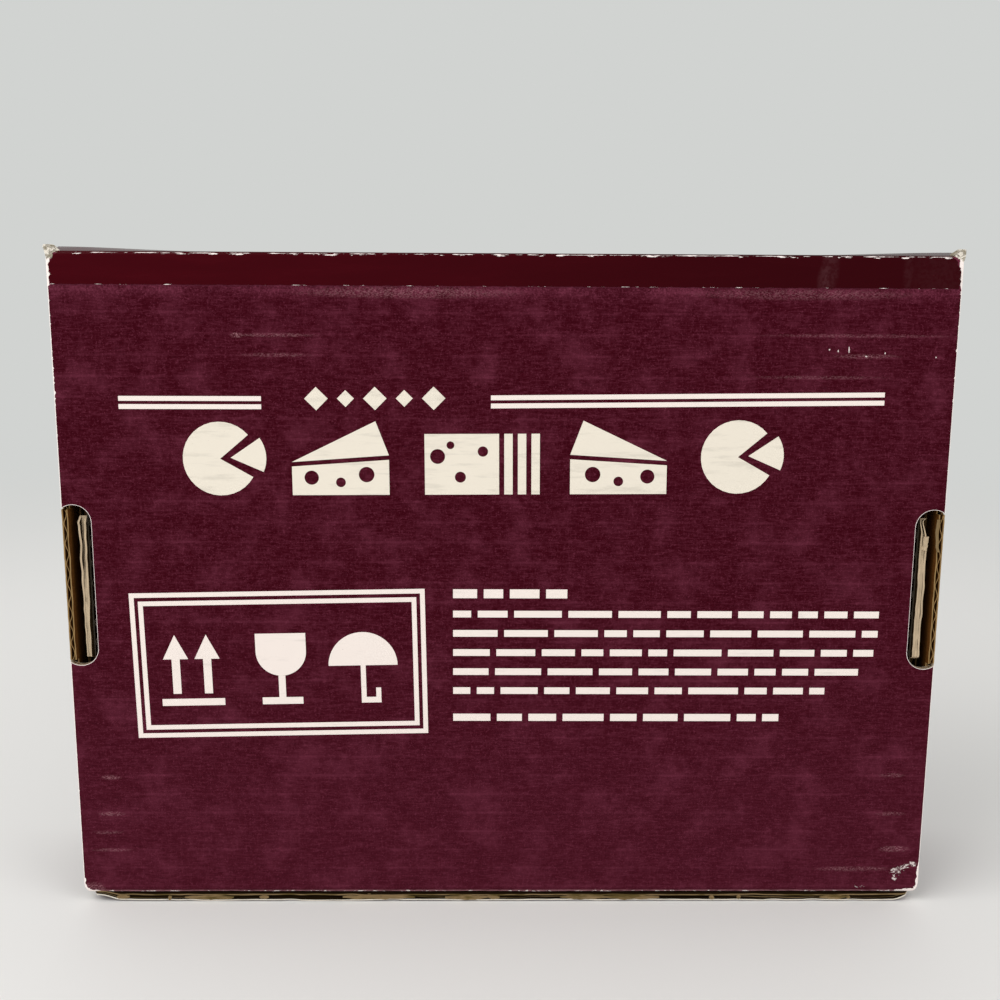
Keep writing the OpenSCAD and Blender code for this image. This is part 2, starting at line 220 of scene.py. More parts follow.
class Finish:
    """A node material while it is put together. Sizes are in metres on the object."""

    def __init__(self, name, roughness=0.6, metallic=0.0, specular=0.5):
        self.material = bpy.data.materials.new(name)
        self.material.use_nodes = True
        self.tree = self.material.node_tree
        self.shader = self.tree.nodes["Principled BSDF"]
        self.shader.inputs["Roughness"].default_value = roughness
        self.shader.inputs["Metallic"].default_value = metallic
        self.shader.inputs["Specular IOR Level"].default_value = specular
        self.place = self.add("ShaderNodeTexCoord").outputs["Object"]
        split = self.add("ShaderNodeSeparateXYZ", Vector=self.place)
        self.along = [split.outputs[axis] for axis in "XYZ"]

    def add(self, kind, settings=None, **inputs):
        node = self.tree.nodes.new(kind)
        for name, value in (settings or {}).items():
            setattr(node, name, value)
        for name, value in inputs.items():
            self.feed(node.inputs[name], value)
        return node

    def feed(self, socket, value):
        if isinstance(value, bpy.types.NodeSocket):
            self.tree.links.new(value, socket)
        elif socket.type == "RGBA" and len(value) == 3:
            socket.default_value = (*value, 1.0)
        else:
            socket.default_value = value

    def math(self, operation, *values):
        node = self.add("ShaderNodeMath", {"operation": operation})
        for socket, value in zip(node.inputs, values):
            self.feed(socket, value)
        return node.outputs[0]

    def plus(self, *values):
        return self.math("ADD", *values)

    def minus(self, *values):
        return self.math("SUBTRACT", *values)

    def times(self, *values):
        return self.math("MULTIPLY", *values)

    def most(self, *values):
        return self.math("MAXIMUM", *values)

    def unsigned(self, value):
        return self.math("ABSOLUTE", value)

    def diagonal(self, first, second):
        """Length of the third side, opposite a right angle."""
        return self.math("SQRT", self.plus(self.times(first, first), self.times(second, second)))

    def off(self, axis, place):
        """Distance to a plane across an axis."""
        return self.unsigned(self.minus(self.along[axis], place))

    def past(self, axis, place, sign):
        """How far a point is past a plane, on the side that the sign gives."""
        return self.most(self.times(self.minus(self.along[axis], place), sign), 0.0)

    def ramp(self, value, low, high, start=0.0, end=1.0):
        node = self.add("ShaderNodeMapRange", {"interpolation_type": "SMOOTHSTEP"}, Value=value)
        limits = ("From Min", "From Max", "To Min", "To Max")
        for name, limit in zip(limits, (low, high, start, end)):
            node.inputs[name].default_value = limit
        return node.outputs["Result"]

    def noise(self, size, detail=3.0, seed=0.0, roughness=0.55):
        """Cloudy pattern whose patches have about the given size, one for each axis or for all."""
        size = (size,) * 3 if isinstance(size, float) else size
        mapping = self.add("ShaderNodeMapping", Vector=self.place,
                           Scale=tuple(1 / s for s in size), Location=(seed, seed * 1.7, seed * 0.6))
        node = self.add("ShaderNodeTexNoise", Vector=mapping.outputs[0], Scale=1.0, Detail=detail,
                        Roughness=roughness)
        return node.outputs["Fac"]

    def mix(self, amount, first, second, kind="RGBA"):
        node = self.add("ShaderNodeMix", {"data_type": kind})
        start, result = MIX_SOCKETS[kind]
        for place, value in ((0, amount), (start, first), (start + 1, second)):
            self.feed(node.inputs[place], value)
        return node.outputs[result]

    def coat(self, base, tone, pattern, low, high, cover=1.0):
        """Lays a tone over a base. It grows up to its cover as a pattern goes from low to high."""
        return self.mix(self.ramp(pattern, low, high, 0.0, cover), base, tone)

    def worn(self, distance, reach, cover, patch, seed, contrast):
        """Where print is rubbed off: in patches, most at the edge and none past the reach."""
        spots = self.noise(patch, detail=5.0, seed=seed, roughness=0.65)
        spots = self.times(self.minus(spots, 0.5), contrast)
        lost = self.minus(spots, self.math("DIVIDE", distance, reach))
        return self.ramp(self.plus(lost, cover), 0.12, 0.16)

    def spot(self, centre, radii):
        """A soft patch, 1 in its middle, in the plane of X and Z."""
        terms = [self.math("POWER", self.math("DIVIDE", self.minus(self.along[a], c), r), 2.0)
                 for a, c, r in zip((X, Z), centre, radii)]
        return self.ramp(self.plus(*terms), 1.0, 0.0)

    def bump(self, height, strength, distance):
        node = self.add("ShaderNodeBump", Height=height, Strength=strength, Distance=distance)
        self.tree.links.new(node.outputs[0], self.shader.inputs["Normal"])

    def done(self, base, roughness=None):
        self.feed(self.shader.inputs["Base Color"], base)
        if roughness is not None:
            self.feed(self.shader.inputs["Roughness"], roughness)
        return self.material


def streaks(axis, long, short):
    """Sizes of a streaky pattern that runs along one axis."""
    return tuple(long if a == axis else short for a in (X, Y, Z))


def patches(rows):
    """Soft patches from rows of X, Z, half width and half height in millimetres, and a share."""
    return [((x * MM, z * MM), (wide * MM, tall * MM), share) for x, z, wide, tall, share in rows]


def rubbed_and_painted_light_bands(made, base, fibre, speck, cloud, top):
    """Lighter, greyer lower half as painted bounce light from the floor, rubbed front crease, rubbed band
    below the wrap sheet's lap, and a painted highlight along the lap's lower edge.
    """
    ink = inks()
    crease = PANEL_LOW.z + FOLD_LINE
    # Painted bounce light from the floor: greyed ink fading in towards the bottom
    base = made.coat(base, ink.dust_and_painted_light, made.along[Z], 0.12, 0.0, 0.12)
    fold = made.ramp(made.along[Z], crease + 0.5 * MM, crease + 0.2 * MM)
    base = made.mix(made.times(fold, made.ramp(fibre, 0.34, 0.62, 0.1, 0.6)), base, ink.rub)
    below = made.minus(top, made.along[Z])
    band = made.times(made.ramp(below, 5.5 * MM, 0.0), made.ramp(speck, 0.34, 0.68, 0.1, 0.7))
    base = made.mix(made.times(band, made.ramp(cloud, 0.36, 0.58, 0.25, 1.0)), base, ink.dust_and_painted_light)
    # Painted highlight: a thin lighter line right under the lap's edge
    return made.coat(base, ink.dust_and_painted_light, below, 0.5 * MM, 0.1 * MM, 0.4)


def chipped(made, base, chips):
    """White paper where the ink has broken off."""
    broken = made.noise((0.0008, 0.001, 0.0005), detail=4.0, seed=15.0, roughness=0.7)
    near = 0.0
    for centre, radii, share in chips:
        near = made.most(near, made.times(made.spot(centre, radii), share))
    flake = made.ramp(made.plus(near, broken), 0.66, 0.70)
    return made.mix(made.times(flake, made.ramp(near, 0.0, 0.03, 0.0, 0.66)), base, inks().paper)


def printed_finish(name, grain, edges, across=Z, rims=(), scuffs=(), chips=(), lap=None):
    """Matt ink on a liner: fibres along the flutes, rubbed flute lines, and wear at its edges.

    edges are an axis, a place on it, the wear's reach and its cover. rims are functions that
    give a distance, and the same two with the wear's roughness. scuffs are soft patches with a
    strength, and chips are broken ones with a share. lap is the height of the wrap sheet's edge,
    below which the base panel is rubbed and has a painted highlight; with a lap, the lower half
    also gets painted bounce light."""
    made = Finish(name, roughness=0.6, specular=0.02)
    ink = inks()
    board = sizes()
    fibre = made.noise(streaks(grain, 0.0030, 0.0005), detail=5.0, roughness=0.7)
    weft = made.noise(streaks(across, 0.0022, 0.0007), detail=4.0, seed=5.0, roughness=0.7)
    speck = made.noise(0.00045, detail=2.0, seed=3.0)
    cloud = made.noise(0.015, detail=7.0, seed=7.0, roughness=0.66)
    base = made.coat(ink.ink, ink.dust_and_painted_light, fibre, 0.44, 0.76, 0.34)
    base = made.coat(base, ink.dust_and_painted_light, weft, 0.46, 0.78, 0.2)
    base = made.coat(base, tint(ink.ink, 0.6), fibre, 0.46, 0.30, 0.55)
    base = made.coat(base, ink.dust_and_painted_light, speck, 0.54, 0.78, 0.5)
    base = made.coat(base, ink.dust_and_painted_light, cloud, 0.46, 0.68, 0.26)
    turn = made.times(made.minus(made.along[across], board.flute_start), math.tau / board.flute_pitch)
    crest = made.ramp(made.math("COSINE", turn), 0.86, 1.0)
    base = made.mix(made.times(crest, made.ramp(cloud, 0.40, 0.62, 0.0, 0.2)), base, ink.dust_and_painted_light)
    if lap is not None:
        base = rubbed_and_painted_light_bands(made, base, fibre, speck, cloud, lap)
    ticks = made.noise(streaks(grain, 0.0006, 0.0003), detail=3.0, seed=11.0)
    for centre, radii, strength in scuffs:
        patch = made.times(made.spot(centre, radii), made.ramp(ticks, 0.40, 0.70))
        base = made.mix(made.times(patch, strength), base, ink.rub)
    if chips:
        base = chipped(made, base, chips)
    wear = [(made.off(axis, place), reach, cover, streaks(Z if axis == X else X, 0.0035, 0.0011), 1.0)
            for axis, place, reach, cover in edges]
    wear += [(rim(made), reach, cover(made) if callable(cover) else cover, 0.0017, rough)
             for rim, reach, cover, rough in rims]
    masks = [made.worn(distance, reach, cover, patch, 2.0 + number, contrast)
             for number, (distance, reach, cover, patch, contrast) in enumerate(wear)]
    if masks:
        base = made.mix(functools.reduce(made.most, masks), base, ink.paper)
    made.bump(made.plus(fibre, speck), 0.16, 0.0001)
    return made.done(base, made.ramp(cloud, 0.3, 0.8, 0.52, 0.7))


def paper_finish(name, base, grain, soiled=None, stain=None):
    """Raw paper or kraft with long fibres and darker flecks. The optional band of painted shade is an axis,
    where it is darkest and where it has faded out. stain is the colour of long patches along the grain."""
    made = Finish(name, roughness=0.85, specular=0.03)
    fibre = made.noise(streaks(grain, 0.006, 0.00035), detail=4.0, seed=1.0)
    fleck = made.noise(0.0012, detail=2.0, seed=4.0)
    tone = made.coat(tint(base, 0.72), base, fibre, 0.3, 0.7)
    tone = made.coat(tone, tint(base, 0.45), fleck, 0.66, 0.78, 0.35)
    if stain:
        patch = made.noise(streaks(grain, 0.011, 0.003), detail=3.0, seed=6.0)
        tone = made.coat(tone, stain, patch, 0.46, 0.60, 0.85)
    if soiled:
        axis, start, end = soiled
        # Painted shade: darkens the paper almost to black towards the band's start
        tone = made.coat(tone, tint(base, 0.08), made.along[axis], end, start, 0.93)
    made.bump(fibre, 0.25, 0.00012)
    return made.done(tone)


def torn_finish(name):
    """Crushed white paper with painted shade in its folds."""
    made = Finish(name, roughness=0.9, specular=0.05)
    ink = inks()
    fold = made.noise((0.0026, 0.004, 0.0019), detail=4.0, seed=3.0, roughness=0.6)
    fibre = made.noise(0.0005, detail=3.0, seed=8.0)
    line = made.unsigned(made.minus(fold, 0.5))
    # Painted shade: grey-olive patches and dark lines along the folds, and flecks of the same
    base = made.coat(ink.torn, ink.fold_shade, fold, 0.46, 0.60, 0.9)
    base = made.coat(base, tint(ink.fold_shade, 0.3), line, 0.03, 0.0, 0.9)
    base = made.coat(base, ink.fold_shade, fibre, 0.6, 0.75, 0.5)
    made.bump(made.plus(fold, fibre), 0.6, 0.0004)
    return made.done(base)


def wrap_finish(name, edges, ends=(), smudges=()):
    """Glossy ink on the wrap sheet, with white flecks where it is folded and torn.

    edges, one at least, and ends are an axis, a place on it, the wear's reach and its cover.
    smudges are soft patches with a strength."""
    made = Finish(name, roughness=0.24, specular=0.04)
    ink = inks()
    smear = made.noise((0.03, 0.02, 0.004), detail=4.0, seed=2.0)
    mottle = made.noise(0.0009, detail=2.0, seed=6.0)
    base = made.coat(ink.gloss_ink, tint(ink.gloss_ink, 1.3), smear, 0.35, 0.75, 0.5)
    base = made.coat(base, ink.ink, mottle, 0.60, 0.80, 0.3)
    # Painted shade: the gloss darkens towards the right, standing in for its uneven reflection
    base = made.coat(base, tint(ink.gloss_ink, 0.62), made.along[X], -0.12, 0.13, 0.85)
    for centre, radii, strength in smudges:
        patch = made.times(made.spot(centre, radii), made.ramp(mottle, 0.36, 0.6, 0.3, 1.0))
        base = made.mix(made.times(patch, strength), base, ink.rub)
    wear = [(*edge, streaks(X, 0.0045, 0.0014), 1.5) for edge in edges]
    wear += [(*end, 0.0016, 1.0) for end in ends]
    masks = [made.worn(made.off(axis, place), reach, cover, patch, 3.0 + number, contrast)
             for number, (axis, place, reach, cover, patch, contrast) in enumerate(wear)]
    lost = functools.reduce(made.most, masks)
    base = made.mix(lost, base, ink.paper)
    made.bump(mottle, 0.05, 0.0001)
    return made.done(base, made.mix(lost, made.ramp(smear, 0.3, 0.8, 0.18, 0.32), 0.85, "FLOAT"))


def cream_finish(name, cream, clean=0.58):
    """Cream of the printed design, stained a little on the flute crests, and more where less of
    it is clean."""
    made = Finish(name, roughness=0.6, specular=0.3)
    stain = made.noise((0.012, 0.01, 0.0016), detail=4.0, seed=9.0)
    speck = made.noise(0.0007, detail=2.0, seed=12.0)
    tone = made.coat(cream, tint(cream, 0.72), stain, clean, clean + 0.22, 0.5)
    tone = made.coat(tone, inks().dust_and_painted_light, speck, 0.70, 0.80, 0.45)
    made.bump(speck, 0.08, 0.0001)
    return made.done(tone)


def marble_finish(name):
    """Polished white marble with grey veins and cloudy ground."""
    made = Finish(name, roughness=0.16, specular=0.5)
    tones = slicer_tones()
    drift = made.noise(0.05, detail=6.0, seed=2.0)
    vein = made.noise((0.09, 0.05, 0.045), detail=8.0, seed=5.0, roughness=0.62)
    line = made.unsigned(made.minus(vein, 0.5))
    base = made.coat(tones.marble, tones.vein, drift, 0.4, 0.75, 0.35)
    base = made.coat(base, tones.vein, line, 0.035, 0.0, 0.7)
    made.shader.inputs["Subsurface Weight"].default_value = 0.08
    made.shader.inputs["Subsurface Radius"].default_value = (0.004, 0.004, 0.004)
    return made.done(base, made.ramp(drift, 0.3, 0.8, 0.12, 0.22))


def metal_finish(name, base, roughness, grain=None):
    """Bare metal with faint drawing marks, along an axis if a grain is given."""
    made = Finish(name, roughness=roughness, metallic=1.0)
    marks = made.noise(streaks(grain, 0.02, 0.00025) if grain is not None else 0.004, detail=3.0)
    tone = made.coat(tint(base, 0.86), base, marks, 0.3, 0.7)
    made.bump(marks, 0.05, 0.00005)
    return made.done(tone, made.ramp(marks, 0.2, 0.8, roughness * 0.8, roughness * 1.4))


def wood_finish(name):
    """Oiled hardwood with grain along the grip."""
    made = Finish(name, roughness=0.38)
    base = slicer_tones().wood
    rings = made.noise((0.0035, 0.0035, 0.05), detail=5.0, seed=4.0)
    pores = made.noise((0.0003, 0.0003, 0.004), detail=2.0, seed=8.0)
    tone = made.coat(tint(base, 0.55), base, rings, 0.35, 0.65)
    tone = made.coat(tone, tint(base, 0.3), pores, 0.62, 0.72, 0.6)
    made.bump(pores, 0.12, 0.0001)
    return made.done(tone, made.ramp(rings, 0.3, 0.7, 0.45, 0.33))


def plain_finish(name, base, roughness, grit):
    """Moulded rubber or nylon with a fine grit."""
    made = Finish(name, roughness=roughness, specular=0.4)
    speck = made.noise(grit, detail=3.0)
    tone = made.coat(tint(base, 0.8), base, speck, 0.3, 0.7)
    made.bump(speck, 0.15, 0.0001)
    return made.done(tone)


FINISHES = {}


def finish_of(name, maker, *details, **options):
    """A finish that several pieces share, made once."""
    if name not in FINISHES:
        FINISHES[name] = maker(name, *details, **options)
    return FINISHES[name]


def raw_finishes():
    """Cut paper, kraft and white paper, which all boards share."""
    ink = inks()
    papers = (("cut_paper", ink.raw), ("kraft_paper", ink.kraft), ("white_paper", ink.paper))
    return [finish_of(name, paper_finish, tone, X) for name, tone in papers]


def board_finishes(name, grain, edges, **details):
    """Print, cut paper, kraft and white paper, in the order that a board's faces name them."""
    return [printed_finish(name, grain, edges, **details), *raw_finishes()]


def slot_painted_shade(name, tone):
    """Paper with painted shade, darkest within 7 mm of the base panel's face and gone 16 mm in, where it is
    seen through the lock slots.
    """
    shade_band = (Y, PANEL_LOW.y + 7 * MM, PANEL_LOW.y + 16 * MM)
    return finish_of(name, paper_finish, tone, Y, soiled=shade_band)


def worn_edges(low, high, axes, cover=0.08):
    """Edge wear, 1 mm wide, at both ends of a board along each axis."""
    return [(axis, end[axis], 1.0 * MM, cover) for axis in axes for end in (low, high)]


def add_object(name, bm, finishes):
    """Turns a bmesh into an object of the scene."""
    mesh = bpy.data.meshes.new(name)
    bm.to_mesh(mesh)
    bm.free()
    for finish in finishes:
        mesh.materials.append(finish)
    made = bpy.data.objects.new(name, mesh)
    bpy.context.scene.collection.objects.link(made)
    return made


def piece(name, bm, finishes, body, slot, stands_for=()):
    """Turns a finished bmesh into a piece that rides on a body of the frame, if one is named."""
    bmesh.ops.recalc_face_normals(bm, faces=bm.faces)
    for face in bm.faces:
        face.smooth = True
    made = add_object(name, bm, finishes)
    made.data.set_sharp_from_angle(angle=SHARP_ANGLE)
    if body:
        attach(made, body)
    if stands_for:
        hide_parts(*stands_for)
    return made


def faces_of(verts):
    return list(dict.fromkeys(face for vert in verts for face in vert.link_faces))


def edges_of(verts):
    return list(dict.fromkeys(edge for vert in verts for edge in vert.link_edges))


def since(items, first):
    """The vertices or faces that were added after the first ones."""
    return items[:][first:]


def edges_on(bm, axis, place):
    """Edges that lie in a plane across an axis."""
    return [e for e in bm.edges if all(abs(v.co[axis] - place) < ON_PLANE for v in e.verts)]


def bevel(bm, edges, offset, segments, clamp=False):
    bmesh.ops.bevel(bm, geom=edges, offset=offset, offset_type="OFFSET", segments=segments,
                    profile=0.5, affect="EDGES", material=-1, clamp_overlap=clamp)


def box_matrix(low, high):
    """Takes a cube of size 1 to the box between two corners."""
    return Matrix.Translation((low + high) / 2) @ Matrix.Diagonal(high - low).to_4x4()


def extrude(bm, faces, step):
    grown = bmesh.ops.extrude_face_region(bm, geom=faces)["geom"]
    bmesh.ops.translate(bm, verts=[g for g in grown if isinstance(g, bmesh.types.BMVert)], vec=step)
    bmesh.ops.recalc_face_normals(bm, faces=bm.faces)


def turn_skin(bm, skin, face, way):
    """Turns a skin so that one of its faces looks a given way."""
    bmesh.ops.recalc_face_normals(bm, faces=skin)
    if face.normal.dot(way) < 0:
        bmesh.ops.reverse_faces(bm, faces=skin)


def turn_to_front(bm, skin):
    turn_skin(bm, skin, min(skin, key=lambda f: f.calc_center_median().y), Vector((0, -1, 0)))


def thicken(bm, thickness, index):
    """Gives a skin its thickness inwards. The faces that this adds take one finish."""
    skin = bm.faces[:]
    bmesh.ops.solidify(bm, geom=skin, thickness=thickness)
    for face in since(bm.faces, len(skin)):
        face.material_index = index


def mark_ply(faces, thick, sides, edge):
    """Gives a ply's faces their finishes: on its low side, its high side and its cut edges."""
    for face in faces:
        face.normal_update()
        side = face.normal[thick]
        face.material_index = edge if abs(side) < 0.5 else sides[side > 0]


def add_sheet(bm, low, high, thick, sides=(KRAFT, KRAFT), edge=CORE, cuts=()):
    """A closed flat ply. cuts are an axis and how often the ply is divided along it."""
    size = high - low
    first = len(bm.verts)
    verts = bmesh.ops.create_cube(bm, size=1.0, matrix=box_matrix(low, high))["verts"]
    mark_ply(faces_of(verts), thick, sides, edge)
    for axis, count in cuts:
        edges = [e for e in edges_of(verts)
                 if abs((e.verts[0].co - e.verts[1].co)[axis]) > size[axis] * 0.9]
        bmesh.ops.subdivide_edges(bm, edges=edges, cuts=count, use_grid_fill=True)
        verts = since(bm.verts, first)
    return verts


def add_lump(bm, size, place, cuts, index):
    """A finely divided block, to be crumpled by moving its vertices."""
    first = len(bm.verts)
    verts = bmesh.ops.create_cube(bm, size=1.0, matrix=place @ Matrix.Diagonal(size).to_4x4())["verts"]
    bmesh.ops.subdivide_edges(bm, edges=edges_of(verts), cuts=cuts, use_grid_fill=True)
    verts = since(bm.verts, first)
    for face in faces_of(verts):
        face.material_index = index
    return verts


def add_medium(bm, low, high, thick, flute, skew=0.0, along=1, shape=None):
    """The fluted ply between two liners. Flutes run along one axis and wave across it."""
    board = sizes()
    wave = 3 - thick - flute
    size = [end - start for start, end in zip(low, high)]
    count = max(4, round(size[wave] / board.flute_pitch * 10))
    reach = (size[thick] - board.medium_t) / 2
    middle = (low[thick] + high[thick]) / 2 - board.medium_t / 2
    span = size[wave] - 2 * board.medium_t
    first = len(bm.faces)
    verts = bmesh.ops.create_grid(bm, x_segments=count, y_segments=along, size=0.5)["verts"]
    for vert in verts:
        place = Vector()
        place[wave] = low[wave] + board.medium_t + (vert.co.x + 0.5) * span
        place[flute] = low[flute] + (vert.co.y + 0.5) * size[flute]
        turns = place[wave] / board.flute_pitch + skew * place[flute] / size[flute]
        place[thick] = middle + reach * math.sin(turns * math.tau)
        vert.co = shape(place) if shape else place
    skin = faces_of(verts)
    outward = Vector()
    outward[thick] = 1
    turn_skin(bm, skin, skin[0], outward)
    bmesh.ops.solidify(bm, geom=skin, thickness=-board.medium_t)
    for face in since(bm.faces, first):
        face.normal_update()
        cut = max(abs(face.normal[flute]), abs(face.normal[wave]))
        face.material_index = CORE if cut > 0.8 else KRAFT


def add_board(bm, low, high, thick, flute, outer=0, along=1, cuts=()):
    """Corrugated board: two liners and a fluted ply. outer is the sign of the printed side."""
    under, over = high.copy(), low.copy()
    under[thick] = low[thick] + sizes().liner_t
    over[thick] = high[thick] - sizes().liner_t
    add_sheet(bm, low, under, thick, (PRINT if outer < 0 else KRAFT, KRAFT), cuts=cuts)
    add_sheet(bm, over, high, thick, (KRAFT, PRINT if outer > 0 else KRAFT), cuts=cuts)
    inner_low, inner_high = low.copy(), high.copy()
    inner_low[thick], inner_high[thick] = under[thick], over[thick]
    add_medium(bm, inner_low, inner_high, thick, flute, along=along)


def dished(place):
    """How far the rear wall stands above its flat place: up at its corners, level in its middle."""
    side = smooth(PANEL_HIGH.x * 0.64, PANEL_HIGH.x, abs(place.x))
    back = smooth(PANEL_LOW.y, PANEL_LOW.y + 9 * MM, place.y)
    back *= 1 - 0.6 * smooth(0.0, 28 * MM, place.y)
    return sizes().dish * side * back * (1.0 if place.x < 0 else 0.75)


def corner_clip(place):
    """How far the boards' front lower corners are crushed back, from 0 to 1 at the corner."""
    side = smooth(PANEL_HIGH.x - 9 * MM, PANEL_HIGH.x - 2 * MM, abs(place.x))
    return side * smooth(PANEL_HIGH.y + 9 * MM, PANEL_HIGH.y, place.y)


def slot_shift(side):
    """The left slot was punched a little high."""
    return sizes().slot_rise if side < 0 else 0.0


def slot_radius():
    return (sizes().slot_w + sizes().slot_overcut) / 2


def slot_cutter(side, finishes):
    """The lock slot at one side as a closed prism, for cutting the base panel."""
    board = sizes()
    radius = slot_radius()
    centre_x = PANEL_HIGH.x - board.slot_w + radius
    centre_z = (PANEL_LOW.z + PANEL_HIGH.z) / 2 + slot_shift(side)
    straight = board.slot_len / 2 - radius
    steps = 16
    bm = bmesh.new()
    outline = []
    for end, start in ((1, 0.0), (-1, math.pi)):
        for step in range(steps + 1):
            turn = start + math.pi * step / steps
            x = side * (centre_x + radius * math.cos(turn))
            z = centre_z + end * straight + radius * math.sin(turn)
            outline.append(bm.verts.new((x, PANEL_LOW.y - MM, z)))
    extrude(bm, [bm.faces.new(outline)], (0, PANEL_HIGH.y - PANEL_LOW.y + 2 * MM, 0))
    for face in bm.faces:
        face.material_index = CORE
    return add_object("slot_cutter", bm, finishes)


def carved(layers, cutters, finishes):
    """Cuts closed shapes out of each layer of a board and joins the layers."""
    joined = bmesh.new()
    for layer in layers:
        solid = add_object("layer", layer, finishes)
        for cutter in cutters:
            cut = solid.modifiers.new("cut", "BOOLEAN")
            cut.object = cutter
            cut.solver = "EXACT"
        graph = bpy.context.evaluated_depsgraph_get()
        result = bpy.data.meshes.new_from_object(solid.evaluated_get(graph), depsgraph=graph)
        joined.from_mesh(result)
        bpy.data.meshes.remove(solid.data)
        bpy.data.meshes.remove(result)
    for cutter in cutters:
        bpy.data.meshes.remove(cutter.data)
    return joined


def crease(name, section, half, finishes, slot, bodies, turn):
    """Thin strip across a fold, from points in Y and Z. bodies and turn are not used."""
    bm = bmesh.new()
    rows = len(section) - 1
    for vert in bmesh.ops.create_grid(bm, x_segments=90, y_segments=rows, size=0.5)["verts"]:
        y, z = section[round((vert.co.y + 0.5) * rows)]
        vert.co = (vert.co.x * 2 * half, y, z)
    skin = bm.faces[:]
    outward = skin[0].calc_center_median() - (PANEL_LOW + PANEL_HIGH) / 2
    turn_skin(bm, skin, skin[0], outward)
    thicken(bm, 0.1 * MM, min(KRAFT, len(finishes) - 1))
    made = piece(name, bm, finishes, None, slot)
    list(bodies)
    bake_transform(made)


